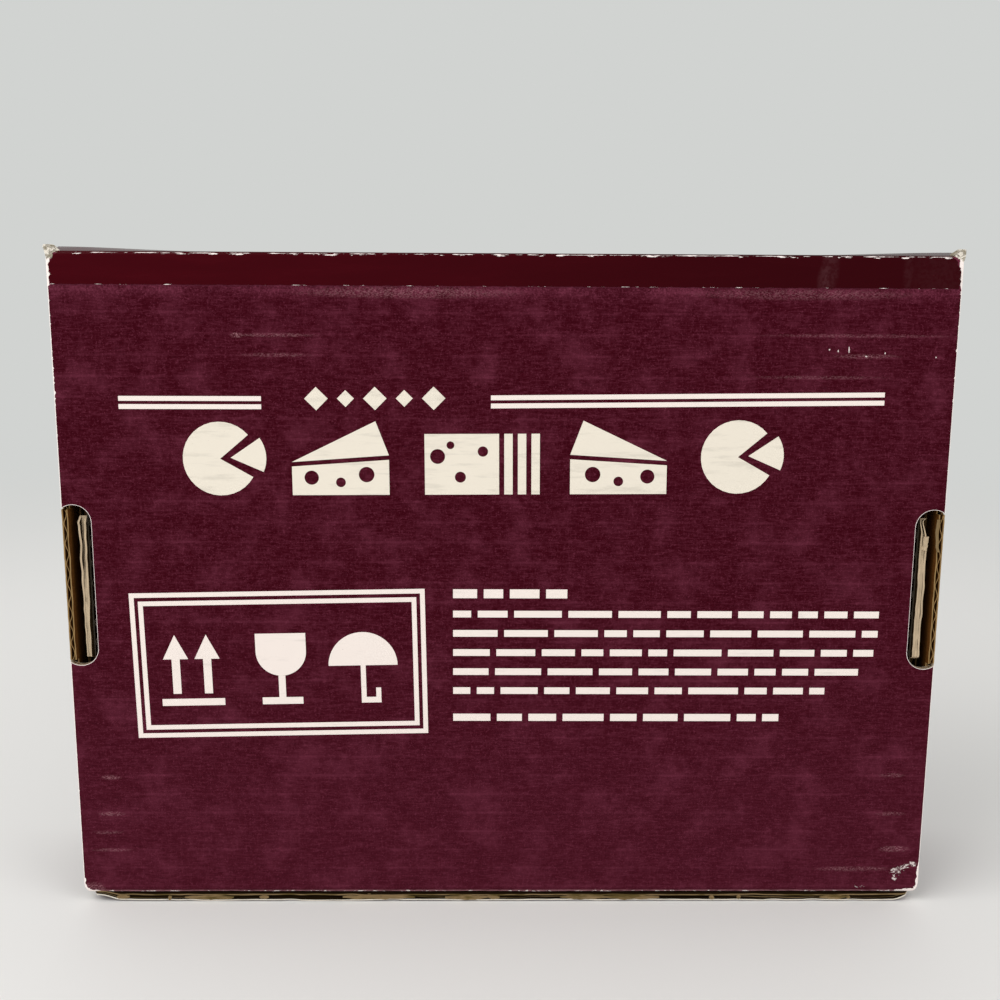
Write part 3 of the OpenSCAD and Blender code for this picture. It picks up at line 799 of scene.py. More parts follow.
class CARTON_OT_base_panel(Operator):
    """Base panel: printed liner folded round its creases, with flute lines and lock slots"""
    bl_idname = "carton.base_panel"
    bl_label = "Base panel"

    # X, Z, half width and half height in millimetres, and a strength
    scuffs = ((-81.8, 186.2, 2.2, 1.0, 0.6), (-70, 186.3, 15, 0.8, 0.28), (-70, 180.3, 13, 0.8, 0.24),
              (107, 186.9, 34, 0.7, 0.2), (110, 180.7, 12, 0.9, 0.28), (96, 174.2, 24, 0.7, 0.2),
              (-127, 43.8, 4, 1.0, 0.36), (-127.5, 31.2, 5, 1.0, 0.4), (-129, 24.7, 6, 0.8, 0.22),
              (-128, 18.5, 8, 0.8, 0.22), (126.7, 44.7, 5, 0.9, 0.26), (127, 31.3, 6, 0.9, 0.26),
              (129, 18.9, 6, 1.3, 0.42), (116, 11.8, 15, 1.1, 0.28), (-30, 199.2, 40, 2.2, 0.26),
              (90, 199.2, 40, 2.0, 0.2), (-134.6, 5.0, 4.6, 2.6, 0.42))
    chips = ((130.0, 10.8, 2.4, 2.0, 0.19), (131.8, 12.1, 2.0, 1.4, 0.17), (133.6, 12.8, 2.2, 1.3, 0.17),
             (135.6, 13.5, 1.8, 1.4, 0.2), (129.8, 8.8, 1.2, 1.8, 0.17), (118.0, 5.4, 2.4, 1.0, 0.09),
             (104.6, 182.7, 0.26, 1.2, 0.42), (98.6, 182.7, 0.3, 0.3, 0.45),
             (115.7, 181.7, 0.3, 0.34, 0.45), (110.0, 180.7, 0.4, 0.28, 0.45),
             (131.4, 180.5, 0.28, 0.3, 0.42), (101.3, 182.3, 0.24, 0.5, 0.42))
    crease_rows = (0.05, 0.12, 0.25, 0.45, 0.9, 1.2, 1.6, 2.1)
    upper_corner_r = 1.5 * MM

    def execute(self, context):
        board = sizes()
        low, high = PANEL_LOW, PANEL_HIGH
        liner = self.folded_liner()
        margin = Vector((2 * board.liner_t, 0, 4 * board.liner_t))
        backing, core = bmesh.new(), bmesh.new()
        add_sheet(backing, Vector((low.x, high.y - board.liner_t, low.z)) + margin, high - margin, Y)
        add_medium(core, Vector((low.x, low.y + board.liner_t + 0.1 * MM, low.z)) + margin,
                   Vector((high.x, high.y - board.liner_t, high.z)) - margin, Y, X)
        finishes = self.finishes()
        cutters = [slot_cutter(side, finishes) for side in (-1, 1)]
        bm = carved([liner, backing, core], cutters, finishes)
        piece("base_panel_board", bm, finishes, "carton", "printed_board", ["base_panel"])
        for side in (-1, 1):
            self.torn_corner(side)
        return {"FINISHED"}

    def folded_liner(self):
        """Printed liner over the panel's face and round its creases, open at the back."""
        board = sizes()
        low, high = PANEL_LOW, PANEL_HIGH
        bm = bmesh.new()
        bmesh.ops.create_cube(bm, size=1.0, matrix=box_matrix(low, high))
        for limit, radius in ((low.z, board.corner_r), (high.z, self.upper_corner_r)):
            corners = [e for e in edges_on(bm, Z, limit) if abs(e.verts[0].co.y - e.verts[1].co.y) > MM]
            bevel(bm, corners, radius, 5)
        bevel(bm, edges_on(bm, Y, low.y), board.side_crease_r, 4)
        back = [f for f in bm.faces if all(abs(v.co.y - high.y) < ON_PLANE for v in f.verts)]
        bmesh.ops.delete(bm, geom=back, context="FACES_ONLY")
        self.cut_rows(bm)
        for vert in bm.verts:
            self.shape(vert.co)
        turn_to_front(bm, bm.faces[:])
        thicken(bm, board.liner_t, CORE)
        return bm

    def cut_rows(self, bm):
        """Adds the rows and columns that the flute lines and the creases need."""
        low, high = PANEL_LOW, PANEL_HIGH
        inset = 3 * MM
        rows = round((high.z - low.z) / sizes().flute_pitch * 6)
        columns = 24

        def spread(axis, count):
            span = high[axis] - low[axis] - 2 * inset
            return [(axis, low[axis] + inset + span * n / count) for n in range(count + 1)]

        creases = [(Z, low.z + height * MM) for height in self.crease_rows]
        for axis, spot in spread(Z, rows) + creases + spread(X, columns):
            point, normal = Vector(), Vector()
            point[axis] = spot
            normal[axis] = 1
            bmesh.ops.bisect_plane(bm, geom=bm.verts[:] + bm.edges[:] + bm.faces[:],
                                   plane_co=point, plane_no=normal)

    def shape(self, place):
        """Lets the flutes show through the face and rolls the front crease in."""
        board = sizes()
        low, high = PANEL_LOW, PANEL_HIGH
        if place.y < low.y + ON_PLANE:
            fade = min(1.0, (place.z - low.z) / (6 * MM), (high.z - place.z) / (6 * MM))
            wave = math.cos((place.z - board.flute_start) / board.flute_pitch * math.tau)
            uneven = 1 + 0.6 * noise.noise(place * 30)
            place.y += board.washboard * (1 - wave) * 0.5 * max(0.0, fade) * uneven
        radius = board.front_crease_r
        below = max(0.0, radius - (place.z - low.z))
        if below > 0:
            rolled = low.y + radius - math.sqrt(max(0.0, radius * radius - below * below))
            place.y = max(place.y, rolled)
            place.z += 0.25 * MM * noise.noise(Vector((place.x * 130, 0, 0))) * below / radius

    def finishes(self):
        rims = [(self.side_rim, 1.2 * MM, self.rim_cover, 2.0),
                (self.side_rim, 0.5 * MM, self.fold_cover, 0.3),
                (self.slot_rim, 0.3 * MM, 0.5, 0.3)]
        return board_finishes("matt_print", X, (), rims=rims, scuffs=patches(self.scuffs),
                              chips=patches(self.chips), lap=WRAP_LOW.z)

    def side_rim(self, made):
        """Distance to the panel's outline, whose lower corners are round."""
        radius = sizes().corner_r
        wide = made.most(made.minus(made.unsigned(made.along[X]), PANEL_HIGH.x - radius), 0.0)
        below = made.past(Z, PANEL_LOW.z + FOLD_LINE + radius, -1)
        inside = made.minus(radius, made.diagonal(wide, below))
        return made.plus(inside, made.past(Y, PANEL_LOW.y + 0.35 * MM, 1))

    def slot_rim(self, made):
        """Distance to the outline of the nearer lock slot."""
        board = sizes()
        radius = slot_radius()
        wide = made.minus(made.unsigned(made.along[X]), PANEL_HIGH.x - board.slot_w + radius)
        left = made.math("LESS_THAN", made.along[X], 0.0)
        middle = made.math("MULTIPLY_ADD", left, slot_shift(-1), (PANEL_LOW.z + PANEL_HIGH.z) / 2)
        tall = made.most(made.minus(made.off(Z, middle), board.slot_len / 2 - radius), 0.0)
        return made.unsigned(made.minus(made.diagonal(wide, tall), radius))

    def rim_cover(self, made):
        """Wear is heavier at the corners than along the sides, and light along the crease."""
        left, right = PANEL_LOW.x, PANEL_HIGH.x
        foot, head = PANEL_LOW.z, PANEL_HIGH.z
        cover = made.ramp(made.along[Z], foot + 1.5 * MM, foot + 6 * MM, 0.02, 0.16)
        for x, z, wide, tall, more in ((left, foot + 2 * MM, 7, 7, 0.5), (right, foot + 3 * MM, 10, 12, 0.75),
                                       (left, head - 3 * MM, 9, 8, 0.9), (right, head - 3 * MM, 9, 8, 0.9),
                                       (left, head - 20 * MM, 9, 60, 0.22),
                                       (right, head - 10 * MM, 9, 45, 0.22)):
            spot = made.spot((x, z), (wide * MM, tall * MM))
            cover = made.plus(cover, made.times(spot, more))
        return cover

    def fold_cover(self, made):
        """The fold's bare line runs down both sides, and stops at the front crease."""
        return made.ramp(made.along[Z], PANEL_LOW.z + 1.5 * MM, PANEL_LOW.z + 5 * MM, -0.3, 0.85)

    def torn_corner(self, side):
        """Crushed white corner at the top, where the wrap sheet has torn away."""
        corner = Vector((side * PANEL_HIGH.x, PANEL_LOW.y - 0.3 * MM, WRAP_HIGH.z + 1.7 * MM))
        size = Vector((7.0, 8.0, 9.0)) * MM
        middle = corner + Vector((-side * size.x, size.y, -size.z)) / 2
        bm = bmesh.new()
        for vert in add_lump(bm, size, Matrix.Translation(middle), 17, 0):
            gap = vert.co - corner
            fold = noise.noise_vector(vert.co * 380 + Vector((side * 3, 1, 2)))
            fine = noise.noise_vector(vert.co * 1300)
            near, far = 1.2 * MM, 5.5 * MM
            vert.co.z -= 3.4 * MM * smooth(2.0 * MM, 6.5 * MM, math.hypot(gap.x, gap.y))
            vert.co.y += 1.5 * MM * smooth(near, far, math.hypot(gap.x, gap.z * 0.6))
            vert.co.x -= side * 1.5 * MM * smooth(near, far, math.hypot(gap.y, gap.z * 0.6))
            vert.co += fold * 0.6 * MM + fine * 0.25 * MM
        name = "torn_corner_left" if side < 0 else "torn_corner_right"
        piece(name, bm, [finish_of("torn_paper", torn_finish)], "carton", "printed_board")


class CARTON_OT_side_walls(Operator):
    """Hollow side walls: outer skins, inner skins with lock tabs, and ridges"""
    bl_idname = "carton.side_walls"
    bl_label = "Side walls"

    def execute(self, context):
        for side, name in ((-1, "left"), (1, "right")):
            self.outer_wall(side, name)
            self.inner_wall(side, name)
            self.ridge(name)
        return {"FINISHED"}

    def split(self, node):
        """The wall's flat part, and the part of it that stands in the lock slot."""
        low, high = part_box(node)
        edge = PANEL_HIGH.y
        heights = [v.co.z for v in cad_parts[node].data.vertices if v.co.y < edge - MM / 2]
        wall = Vector((low.x, edge, low.z)), high
        return wall, (Vector((low.x, low.y, min(heights))), Vector((high.x, edge, max(heights))))

    def outer_wall(self, side, name):
        node = name + "_outer_wall"
        (low, high), (lug_low, lug_high) = self.split(node)
        for corner in (lug_low, lug_high):
            corner.z += slot_shift(side)
        bm = bmesh.new()
        add_board(bm, low, high, X, Y, outer=side, along=24, cuts=((Y, 23),))
        for vert in bm.verts:
            vert.co.z += dished(vert.co) * smooth(high.z - 30 * MM, high.z, vert.co.z)
            vert.co.z += 4 * MM * corner_clip(vert.co) * smooth(low.z + 30 * MM, low.z, vert.co.z)
        add_board(bm, lug_low, lug_high, X, Y, outer=side, cuts=((Z, 40),))
        for vert in bm.verts:
            if vert.co.y < lug_low.y + MM:
                vert.co.y += 0.25 * MM * (1 + noise.noise(vert.co * 600))
                depth = high.x - vert.co.x if side > 0 else vert.co.x - low.x
                inward = side * 0.45 * MM * smooth(0.2, 1.0, depth / (high.x - low.x))
                vert.co.x += inward * (0.7 + 0.6 * noise.noise(Vector((0, side, vert.co.z * 160))))
        if side > 0:
            self.pulled_liner(bm, lug_low, lug_high)
        ink = inks()
        finishes = board_finishes(name + "_wall_print", Y, worn_edges(low, high, (Y, Z), cover=0.14))
        # Painted shade: the lug's cut edges, seen in the lock slot, take the darker cut colour
        finishes[CORE] = finish_of("soiled_cut", paper_finish, ink.soiled, Z)
        # The walls' inner faces take the darker kraft, painted shade for the slots' insides
        finishes[KRAFT] = finish_of("hollow_kraft", paper_finish, ink.hollow, Y)
        finishes[WHITE] = finish_of("loose_liner", paper_finish, ink.liner, Z)
        piece(node + "_board", bm, finishes, "carton", "printed_board", [node])

    def pulled_liner(self, bm, low, high):
        """Loose strip of liner over the upper part of a lug's cut edge."""
        top, bottom = high.z - 1.5 * MM, high.z - 12 * MM
        strip_low = Vector((low.x - 0.3 * MM, low.y - 0.1 * MM, bottom))
        strip_high = Vector((low.x + 0.6 * MM, low.y + 0.3 * MM, top))
        verts = add_sheet(bm, strip_low, strip_high, Y, (WHITE, KRAFT), WHITE, cuts=((Z, 24), (X, 3)))
        for vert in verts:
            end = smooth(bottom + 2 * MM, bottom, vert.co.z)
            vert.co.x += (0.7 * end + 0.25 * noise.noise(Vector((0, 7, vert.co.z * 250)))) * MM
            vert.co.y += 0.15 * MM * noise.noise(vert.co * 500)

    def inner_wall(self, side, name):
        node = name + "_inner_wall"
        (low, high), (tab_low, tab_high) = self.split(node)
        bm = bmesh.new()
        add_board(bm, low, high, X, Y)
        for face in bm.faces:
            face.material_index = KRAFT
        self.tab(bm, tab_low, tab_high, side)
        crushed = finish_of("crushed_board", paper_finish, inks().crushed, Z)
        # Painted shade on the inner wall and its tab's flanks, dark where they show through the lock slot
        soiled = slot_painted_shade("soiled_tab", inks().kraft)
        piece(node + "_board", bm, [soiled, crushed, soiled], "carton", "kraft_board", [node])

    def tab(self, bm, low, high, side):
        """Lock tab whose cut end is crushed: split at its top, pressed solid lower down."""
        liner = 1.5 * sizes().liner_t
        plies = ((low.x, low.x + liner, 0.0), (high.x - liner, high.x, 0.0),
                 (low.x + liner * 0.8, high.x - liner * 0.8, 1.0))
        middle = (low.x + high.x) / 2
        top, bottom = (1.7, 0.6) if side < 0 else (0.6, 1.0)
        for number, (start, stop, core) in enumerate(plies):
            verts = add_sheet(bm, Vector((start, low.y, low.z)), Vector((stop, high.y, high.z)), X,
                              cuts=((Z, 44), (Y, 4)))
            for vert in verts:
                tip = (high.y - vert.co.y) / (high.y - low.y)
                up = (vert.co.z - low.z) / (high.z - low.z)
                rough = noise.noise_vector(Vector((number * 9.0, vert.co.z * 230, side * 5.0)))
                pinch = smooth(0.6, 0.2, up) * 0.3 if side < 0 else smooth(0.80, 1.0, up) * 0.6
                vert.co.x += (middle - vert.co.x) * pinch * tip
                spread = smooth(0.84, 1.0, up) if side < 0 and not core else 0.0
                vert.co.x += math.copysign(0.25 * MM, vert.co.x - middle) * spread * tip
                bow = 0.25 * noise.noise(Vector((0, vert.co.z * 60, side)))
                vert.co.x += tip * (0.30 * rough.x + bow) * MM
                if side > 0:
                    vert.co.x -= tip * 0.9 * MM * smooth(0.86, 1.0, up)
                vert.co.y += tip * abs(rough.y) * 0.5 * MM
                parted = smooth(0.35, 0.75, up + 0.25 * rough.z) if side < 0 else smooth(0.8, 0.95, up)
                vert.co.y += tip * core * (0.15 + 1.3 * parted) * MM
                vert.co.z += tip * (bottom * smooth(0.06, 0.0, up) - top * smooth(0.94, 1.0, up)) * MM
        if side > 0:
            self.flake(bm, Vector((high.x - 0.9 * MM, low.y, low.z + 0.83 * (high.z - low.z))))

    def flake(self, bm, place):
        """Torn flake of liner that hangs off the tab."""
        hang = Matrix.Translation(place + Vector((0.3 * MM, 0.6 * MM, 0))) @ Matrix.Rotation(0.12, 4, "Y")
        for vert in add_lump(bm, Vector((1.5, 1.6, 4.4)) * MM, hang, 5, CORE):
            vert.co += noise.noise_vector(vert.co * 900) * 0.35 * MM

    def ridge(self, name):
        node = name + "_wall_ridge"
        low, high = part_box(node)
        bm = bmesh.new()
        add_board(bm, low, high, Y, X, outer=1)
        finishes = board_finishes(name + "_ridge_print", X, worn_edges(low, high, (X, Z)))
        piece(node + "_board", bm, finishes, "carton", "kraft_board", [node])


class CARTON_OT_end_walls(Operator):
    """Front and rear walls with their corner flaps"""
    bl_idname = "carton.end_walls"
    bl_label = "End walls"

    def execute(self, context):
        for end, sign in (("front", -1), ("rear", 1)):
            node = end + "_wall"
            low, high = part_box(node)
            bm = bmesh.new()
            add_board(bm, low, high, Z, X, outer=sign, along=80, cuts=((X, 79), (Y, 15)))
            for vert in bm.verts:
                if sign > 0:
                    vert.co.z += dished(vert.co)
                else:
                    vert.co.y += 6 * MM * corner_clip(vert.co)
            finishes = board_finishes(node + "_print", X, worn_edges(low, high, (X, Y)), across=Y)
            piece(node + "_board", bm, finishes, "carton", "printed_board", [node])
            for side in ("left", "right"):
                self.corner_flap(f"{end}_{side}_corner_flap")
        return {"FINISHED"}

    def corner_flap(self, node):
        low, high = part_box(node)
        bm = bmesh.new()
        add_board(bm, low, high, X, Z)
        cut, kraft, _ = raw_finishes()
        piece(node + "_board", bm, [kraft, cut, kraft], "carton", "kraft_board", [node])


class CARTON_OT_wrap_sheet(Operator):
    """Glossy wrap sheet over the rear wall, folded on to the base panel, and on the lid"""
    bl_idname = "carton.wrap_sheet"
    bl_label = "Wrap sheet"

    # Rows of the section, the row at which its ends are torn in most, and over how many that fades
    lap_steps, bend_steps, top_steps = 12, 8, 14
    torn_row, torn_rows = 15, 7

    # X, Z, half width and half height in millimetres, and a strength
    smudges = ((97.4, 207.2, 3.2, 9, 0.035), (95.4, 203, 2.2, 6, 0.03), (121, 206, 1.8, 8, 0.016),
               (131, 206, 12, 14, 0.012))

    def execute(self, context):
        self.rear_sheet()
        self.lid_sheet()
        self.lid_crease()
        return {"FINISHED"}

    def profile(self):
        """Points of the sheet's section, from its lap's lower edge over the crease to the lid."""
        low, high = WRAP_LOW, WRAP_HIGH
        radius = sizes().side_crease_r + 0.5 * MM
        rise, run = high.z - radius - low.z, high.y - low.y - radius
        points = [(low.y, low.z + rise * n / self.lap_steps) for n in range(self.lap_steps)]
        for step in range(self.bend_steps + 1):
            turn = math.pi / 2 * step / self.bend_steps
            points.append((low.y + radius * (1 - math.cos(turn)), high.z - radius * (1 - math.sin(turn))))
        points += [(low.y + radius + run * n / self.top_steps, high.z) for n in range(1, self.top_steps + 1)]
        return points

    def rear_sheet(self):
        low, high = WRAP_LOW, WRAP_HIGH
        points = self.profile()
        bm = bmesh.new()
        grid = bmesh.ops.create_grid(bm, x_segments=240, y_segments=len(points) - 1, size=0.5)["verts"]
        zone = 9 * MM
        for vert in grid:
            step = round((vert.co.y + 0.5) * (len(points) - 1))
            across = vert.co.x * 2
            y, z = points[step]
            torn = 1 - min(1.0, abs(step - self.torn_row) / self.torn_rows)
            ragged = noise.noise(Vector((z * 900, y * 500, math.copysign(3, across))))
            inset = (0.7 + 3.0 * torn + 1.3 * abs(ragged)) * MM
            x = abs(across) * PANEL_HIGH.x
            x = min(x, PANEL_HIGH.x - zone) + max(0.0, x - PANEL_HIGH.x + zone) * (zone - inset) / zone
            vert.co = Vector((math.copysign(x, across), y, z))
            vert.co.z += dished(vert.co) * smooth(low.z, high.z, z)
            if step == 0:
                vert.co.z += 0.2 * MM * noise.noise(Vector((across * 60, 0, 0)))
            if step < self.lap_steps:
                vert.co.y += 0.06 * MM * noise.noise(Vector((across * 9, z * 100, 5)))
        turn_to_front(bm, bm.faces[:])
        thicken(bm, sizes().sheet_t, CORE)
        fold = high.z - 0.75 * MM
        edges = [(Z, fold, 1.7 * MM, 0.05), (Z, fold + 0.3 * MM, 0.5 * MM, 0.2), (Z, low.z, 0.7 * MM, 0.06)]
        ends = [(X, end, 2.4 * MM, 0.42) for end in (PANEL_LOW.x, PANEL_HIGH.x)]
        finish = wrap_finish("gloss_wrap", edges, ends, patches(self.smudges))
        piece("wrap_sheet_fold", bm, [finish, raw_finishes()[0]], "carton", "wrap_paper",
              ["wrap_sheet_rear"])

    def lid_sheet(self):
        low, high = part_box("wrap_sheet_lid")
        bm = bmesh.new()
        add_sheet(bm, low, high, Y, (CORE, PRINT))
        bevel(bm, edges_on(bm, Y, high.y), 0.2 * MM, 2)
        edges = [(X, low.x, 1.6 * MM, 0.1), (X, high.x, 1.6 * MM, 0.1),
                 (Z, low.z, 1.6 * MM, 0.1), (Z, high.z, 1.4 * MM, 0.08)]
        piece("wrap_sheet_lid_face", bm, [wrap_finish("gloss_lid", edges), raw_finishes()[0]],
              "lid", "wrap_paper", ["wrap_sheet_lid"])

    def lid_crease(self):
        """Fold of the wrap sheet between the rear wall and the lid, just under both of its faces."""
        lid_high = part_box("wrap_sheet_lid")[1]
        top = lid_high.z + 0.12 * MM
        face = lid_high.y - 0.18 * MM
        start = WRAP_HIGH.y - 0.3 * MM
        steps = 8
        section = [(start - d * MM, top) for d in (6.0, 4.0, 2.0, 1.0)]
        section += [(start + (face - start) * n / steps, top - 0.3 * MM * (n / steps) ** 2)
                    for n in range(steps + 1)]
        section += [(face, top - d * MM) for d in (1.0, 2.0, 4.0)]
        finish = wrap_finish("gloss_fold", [(Y, face, 0.4 * MM, 0.1)])
        crease("lid_crease", section, WRAP_HIGH.x - MM, [finish, raw_finishes()[0]], "wrap_paper",
               ("carton", "lid"), (start, face))


class CARTON_OT_lid(Operator):
    """Lid panel and the front flap that folds under the carton"""
    bl_idname = "carton.lid"
    bl_label = "Lid and flap"

    # Place along X and width of each crushed bit in the flap's cut edge, in millimetres
    crumbs = ((-125.5, 4), (-110, 1.2), (-97, 16), (-79, 3), (-41, 24), (-12, 14), (-3, 4), (27, 16),
              (43, 18), (69.5, 1.6), (78.5, 1.2), (110, 9), (115, 1.4))

    def execute(self, context):
        low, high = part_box("lid_panel")
        crease_room = Vector((0, 0, 0.5 * MM))
        bm = bmesh.new()
        add_board(bm, low + crease_room, high, Y, X, outer=1)
        finishes = board_finishes("lid_print", X, worn_edges(low, high, (X, Z)))
        piece("lid_panel_board", bm, finishes, "lid", "printed_board", ["lid_panel"])
        self.flap()
        self.flap_crease(high.y)
        return {"FINISHED"}

    def flap_crease(self, lid_face):
        """Creased liner that joins the lid to its flap."""
        low, high = FLAP_LOW, FLAP_HIGH
        depth = low.z + sizes().liner_t / 2
        turn = lid_face - sizes().liner_t / 2
        steps = 12
        section = [(turn, low.z + h * MM) for h in (4.0, 3.0, 2.0, 1.0, 0.5)]
        section += [(turn + (high.y - turn) * n / steps, depth) for n in range(steps + 1)]
        section += [(high.y - d * MM, depth) for d in (1.0, 2.0, 4.0)]
        fold = (Y, (turn + high.y) / 2, 0.9 * MM, 0.3)
        crease("flap_crease", section, high.x, board_finishes("crease_print", X, (fold,)), "printed_board",
               ("lid", "flap"), (turn, high.y))

    def fitted(self, place):
        """Moves a point of the flat flap: round free corners, and plies that wander at the cut edge."""
        low, high = FLAP_LOW, FLAP_HIGH
        radius = sizes().flap_corner_r
        over = max(0.0, abs(place.x) - (high.x - radius))
        edge = low.y + radius - math.sqrt(max(0.0, radius * radius - over * over))
        share = (place.y - low.y) / (high.y - low.y)
        free = smooth(5.5 * MM, 0.0, place.y - low.y)
        left, right = smooth(-125 * MM, -133 * MM, place.x), smooth(130 * MM, 135 * MM, place.x)
        layer = round((place.z - low.z) / sizes().liner_t)
        wander = 0.3 * noise.noise(Vector((place.x * 45, 3, layer * 0.3)))
        wander += 0.14 * noise.noise(Vector((place.x * 170, 5, layer * 0.7)))
        fray = 0.6 * max(0.0, noise.noise(Vector((place.x * 150, layer * 2.0, 1))))
        pressed = (high.z - place.z) * free * max(0.35 * left, 0.75 * right)
        lift = max(0.0, 0.36 + 1.3 * left + 0.2 * right + wander) * free * MM
        depth = edge + share * (high.y - edge) + fray * free * MM
        return Vector((place.x, depth, place.z + pressed + lift))

    def flap(self):
        """Flap whose flutes and liners wander across the cut edge."""
        low, high = FLAP_LOW, FLAP_HIGH
        liner = sizes().liner_t
        bm = bmesh.new()
        self.flap_liner(bm, low.z + liner, (PRINT, KRAFT), WHITE)
        self.flap_liner(bm, high.z, (KRAFT, KRAFT), CORE)
        inner_low = Vector((low.x + MM, low.y + 0.5 * MM, low.z + liner))
        inner_high = Vector((high.x - MM, high.y, high.z - liner))
        add_medium(bm, inner_low, inner_high, Z, X, skew=2.3, along=120, shape=self.fitted)
        for spot, wide in self.crumbs:
            place = self.fitted(Vector((spot * MM, low.y + 0.3 * MM, (low.z + high.z) / 2)))
            self.crumb(bm, place, wide * MM)
        ink = inks()
        # Painted shade on the flap's kraft faces and fluted ply: near black at the cut edge and gone 5 mm in,
        # in the gap under the base panel's crease
        shade_band = (Y, low.y + 0.6 * MM, low.y + 5 * MM)
        finishes = [printed_finish("flap_print", X, worn_edges(low, high, (X, Y)), across=Y),
                    paper_finish("liner_edge", ink.liner, X, stain=ink.stain),
                    paper_finish("shaded_kraft", ink.kraft, X, soiled=shade_band),
                    paper_finish("flap_liner_edge", ink.torn, X)]
        piece("front_flap_board", bm, finishes, "flap", "printed_board", ["front_flap"])

    def flap_liner(self, bm, top, sides, cut):
        """One liner of the flap, finely divided towards its cut edge."""
        low, high = FLAP_LOW, FLAP_HIGH
        first = len(bm.faces)
        verts = bmesh.ops.create_grid(bm, x_segments=200, y_segments=26, size=0.5)["verts"]
        skin = faces_of(verts)
        for vert in verts:
            depth = (vert.co.y + 0.5) ** 2
            flat = Vector((vert.co.x * (high.x - low.x), low.y + depth * (high.y - low.y), top))
            vert.co = self.fitted(flat)
        turn_skin(bm, skin, skin[0], Vector((0, 0, 1)))
        bmesh.ops.solidify(bm, geom=skin, thickness=sizes().liner_t)
        mark_ply(since(bm.faces, first), Z, sides, cut)

    def crumb(self, bm, place, wide):
        """Crushed bit of the fluted ply that fills the flap's cut edge for a short way."""
        cuts = 6 if wide < 5 * MM else 16
        for vert in add_lump(bm, (wide, 0.8 * MM, 1.5 * MM), Matrix.Translation(place), cuts, CORE):
            end = abs(vert.co.x - place.x) / wide * 2
            vert.co.z += (place.z - vert.co.z) * 0.7 * end * end
            vert.co.z += 0.3 * MM * noise.noise(Vector((vert.co.x * 260, 0, 0)))
            vert.co += noise.noise_vector(vert.co * 800) * 0.25 * MM


class CARTON_OT_pads(Operator):
    """Packing pads of glued corrugated plies"""
    bl_idname = "carton.pads"
    bl_label = "Packing pads"

    # Each pad and the axis across its plies
    pads = (("rear_pad", Z), ("left_side_pad", X), ("right_side_pad", X), ("near_front_pad", X),
            ("far_front_pad", X))

    def execute(self, context):
        # Painted shade on the pads, dark near the base panel, where they show through the lock slots
        cut = slot_painted_shade("soiled_pad_cut", inks().raw)
        kraft = slot_painted_shade("soiled_tab", inks().kraft)
        for node, thick in self.pads:
            low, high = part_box(node)
            plies = max(1, round((high[thick] - low[thick]) / sizes().pad_ply))
            step = (high[thick] - low[thick]) / plies
            bm = bmesh.new()
            for ply in range(plies):
                start, stop = low.copy(), high.copy()
                start[thick] = low[thick] + ply * step
                stop[thick] = start[thick] + step
                add_board(bm, start, stop, thick, Y)
            piece(node + "_plies", bm, [kraft, cut, kraft], "carton", "kraft_board", [node])
        return {"FINISHED"}


def flat_shape(bm, *points):
    """A flat printed shape just inside the base panel's face, from X and Z in millimetres."""
    y, up = PANEL_LOW.y + 0.1 * MM, sizes().print_up
    bm.faces.new([bm.verts.new((x * MM, y, z * MM + up)) for x, z in points])


def raise_print(bm, height):
    """Gives flat printed shapes their thickness, out of the panel's face."""
    bmesh.ops.recalc_face_normals(bm, faces=bm.faces)
    bmesh.ops.reverse_faces(bm, faces=[f for f in bm.faces if f.normal.y > 0])
    extrude(bm, bm.faces[:], (0, -height, 0))


def askew(bm, degrees, x, z):
    """Turns print a little about a point of the base panel, in millimetres."""
    bmesh.ops.rotate(bm, verts=bm.verts[:], cent=(x * MM, 0, z * MM + sizes().print_up),
                     matrix=Matrix.Rotation(-math.radians(degrees), 3, "Y"))


def bar(bm, x0, x1, z0, z1):
    flat_shape(bm, (x0, z0), (x1, z0), (x1, z1), (x0, z1))


def diamond(bm, x, z, reach):
    flat_shape(bm, (x - reach, z), (x, z - reach), (x + reach, z), (x, z + reach))


def box_lines(bm, x0, x1, z0, z1, line):
    """Outline of a box."""
    for low, high in ((z1 - line, z1), (z0, z0 + line)):
        bar(bm, x0, x1, low, high)
    for left, right in ((x0, x0 + line), (x1 - line, x1)):
        bar(bm, left, right, z0 + line, z1 - line)


def sector(bm, x, z, radius, start, stop, steps=28):
    """Part of a disc, from one angle to another in degrees."""
    arc = [math.radians(start + (stop - start) * n / steps) for n in range(steps + 1)]
    points = [(x + radius * math.cos(a), z + radius * math.sin(a)) for a in arc]
    if stop - start < 360:
        points.append((x, z))
    else:
        points.pop()
    flat_shape(bm, *points)


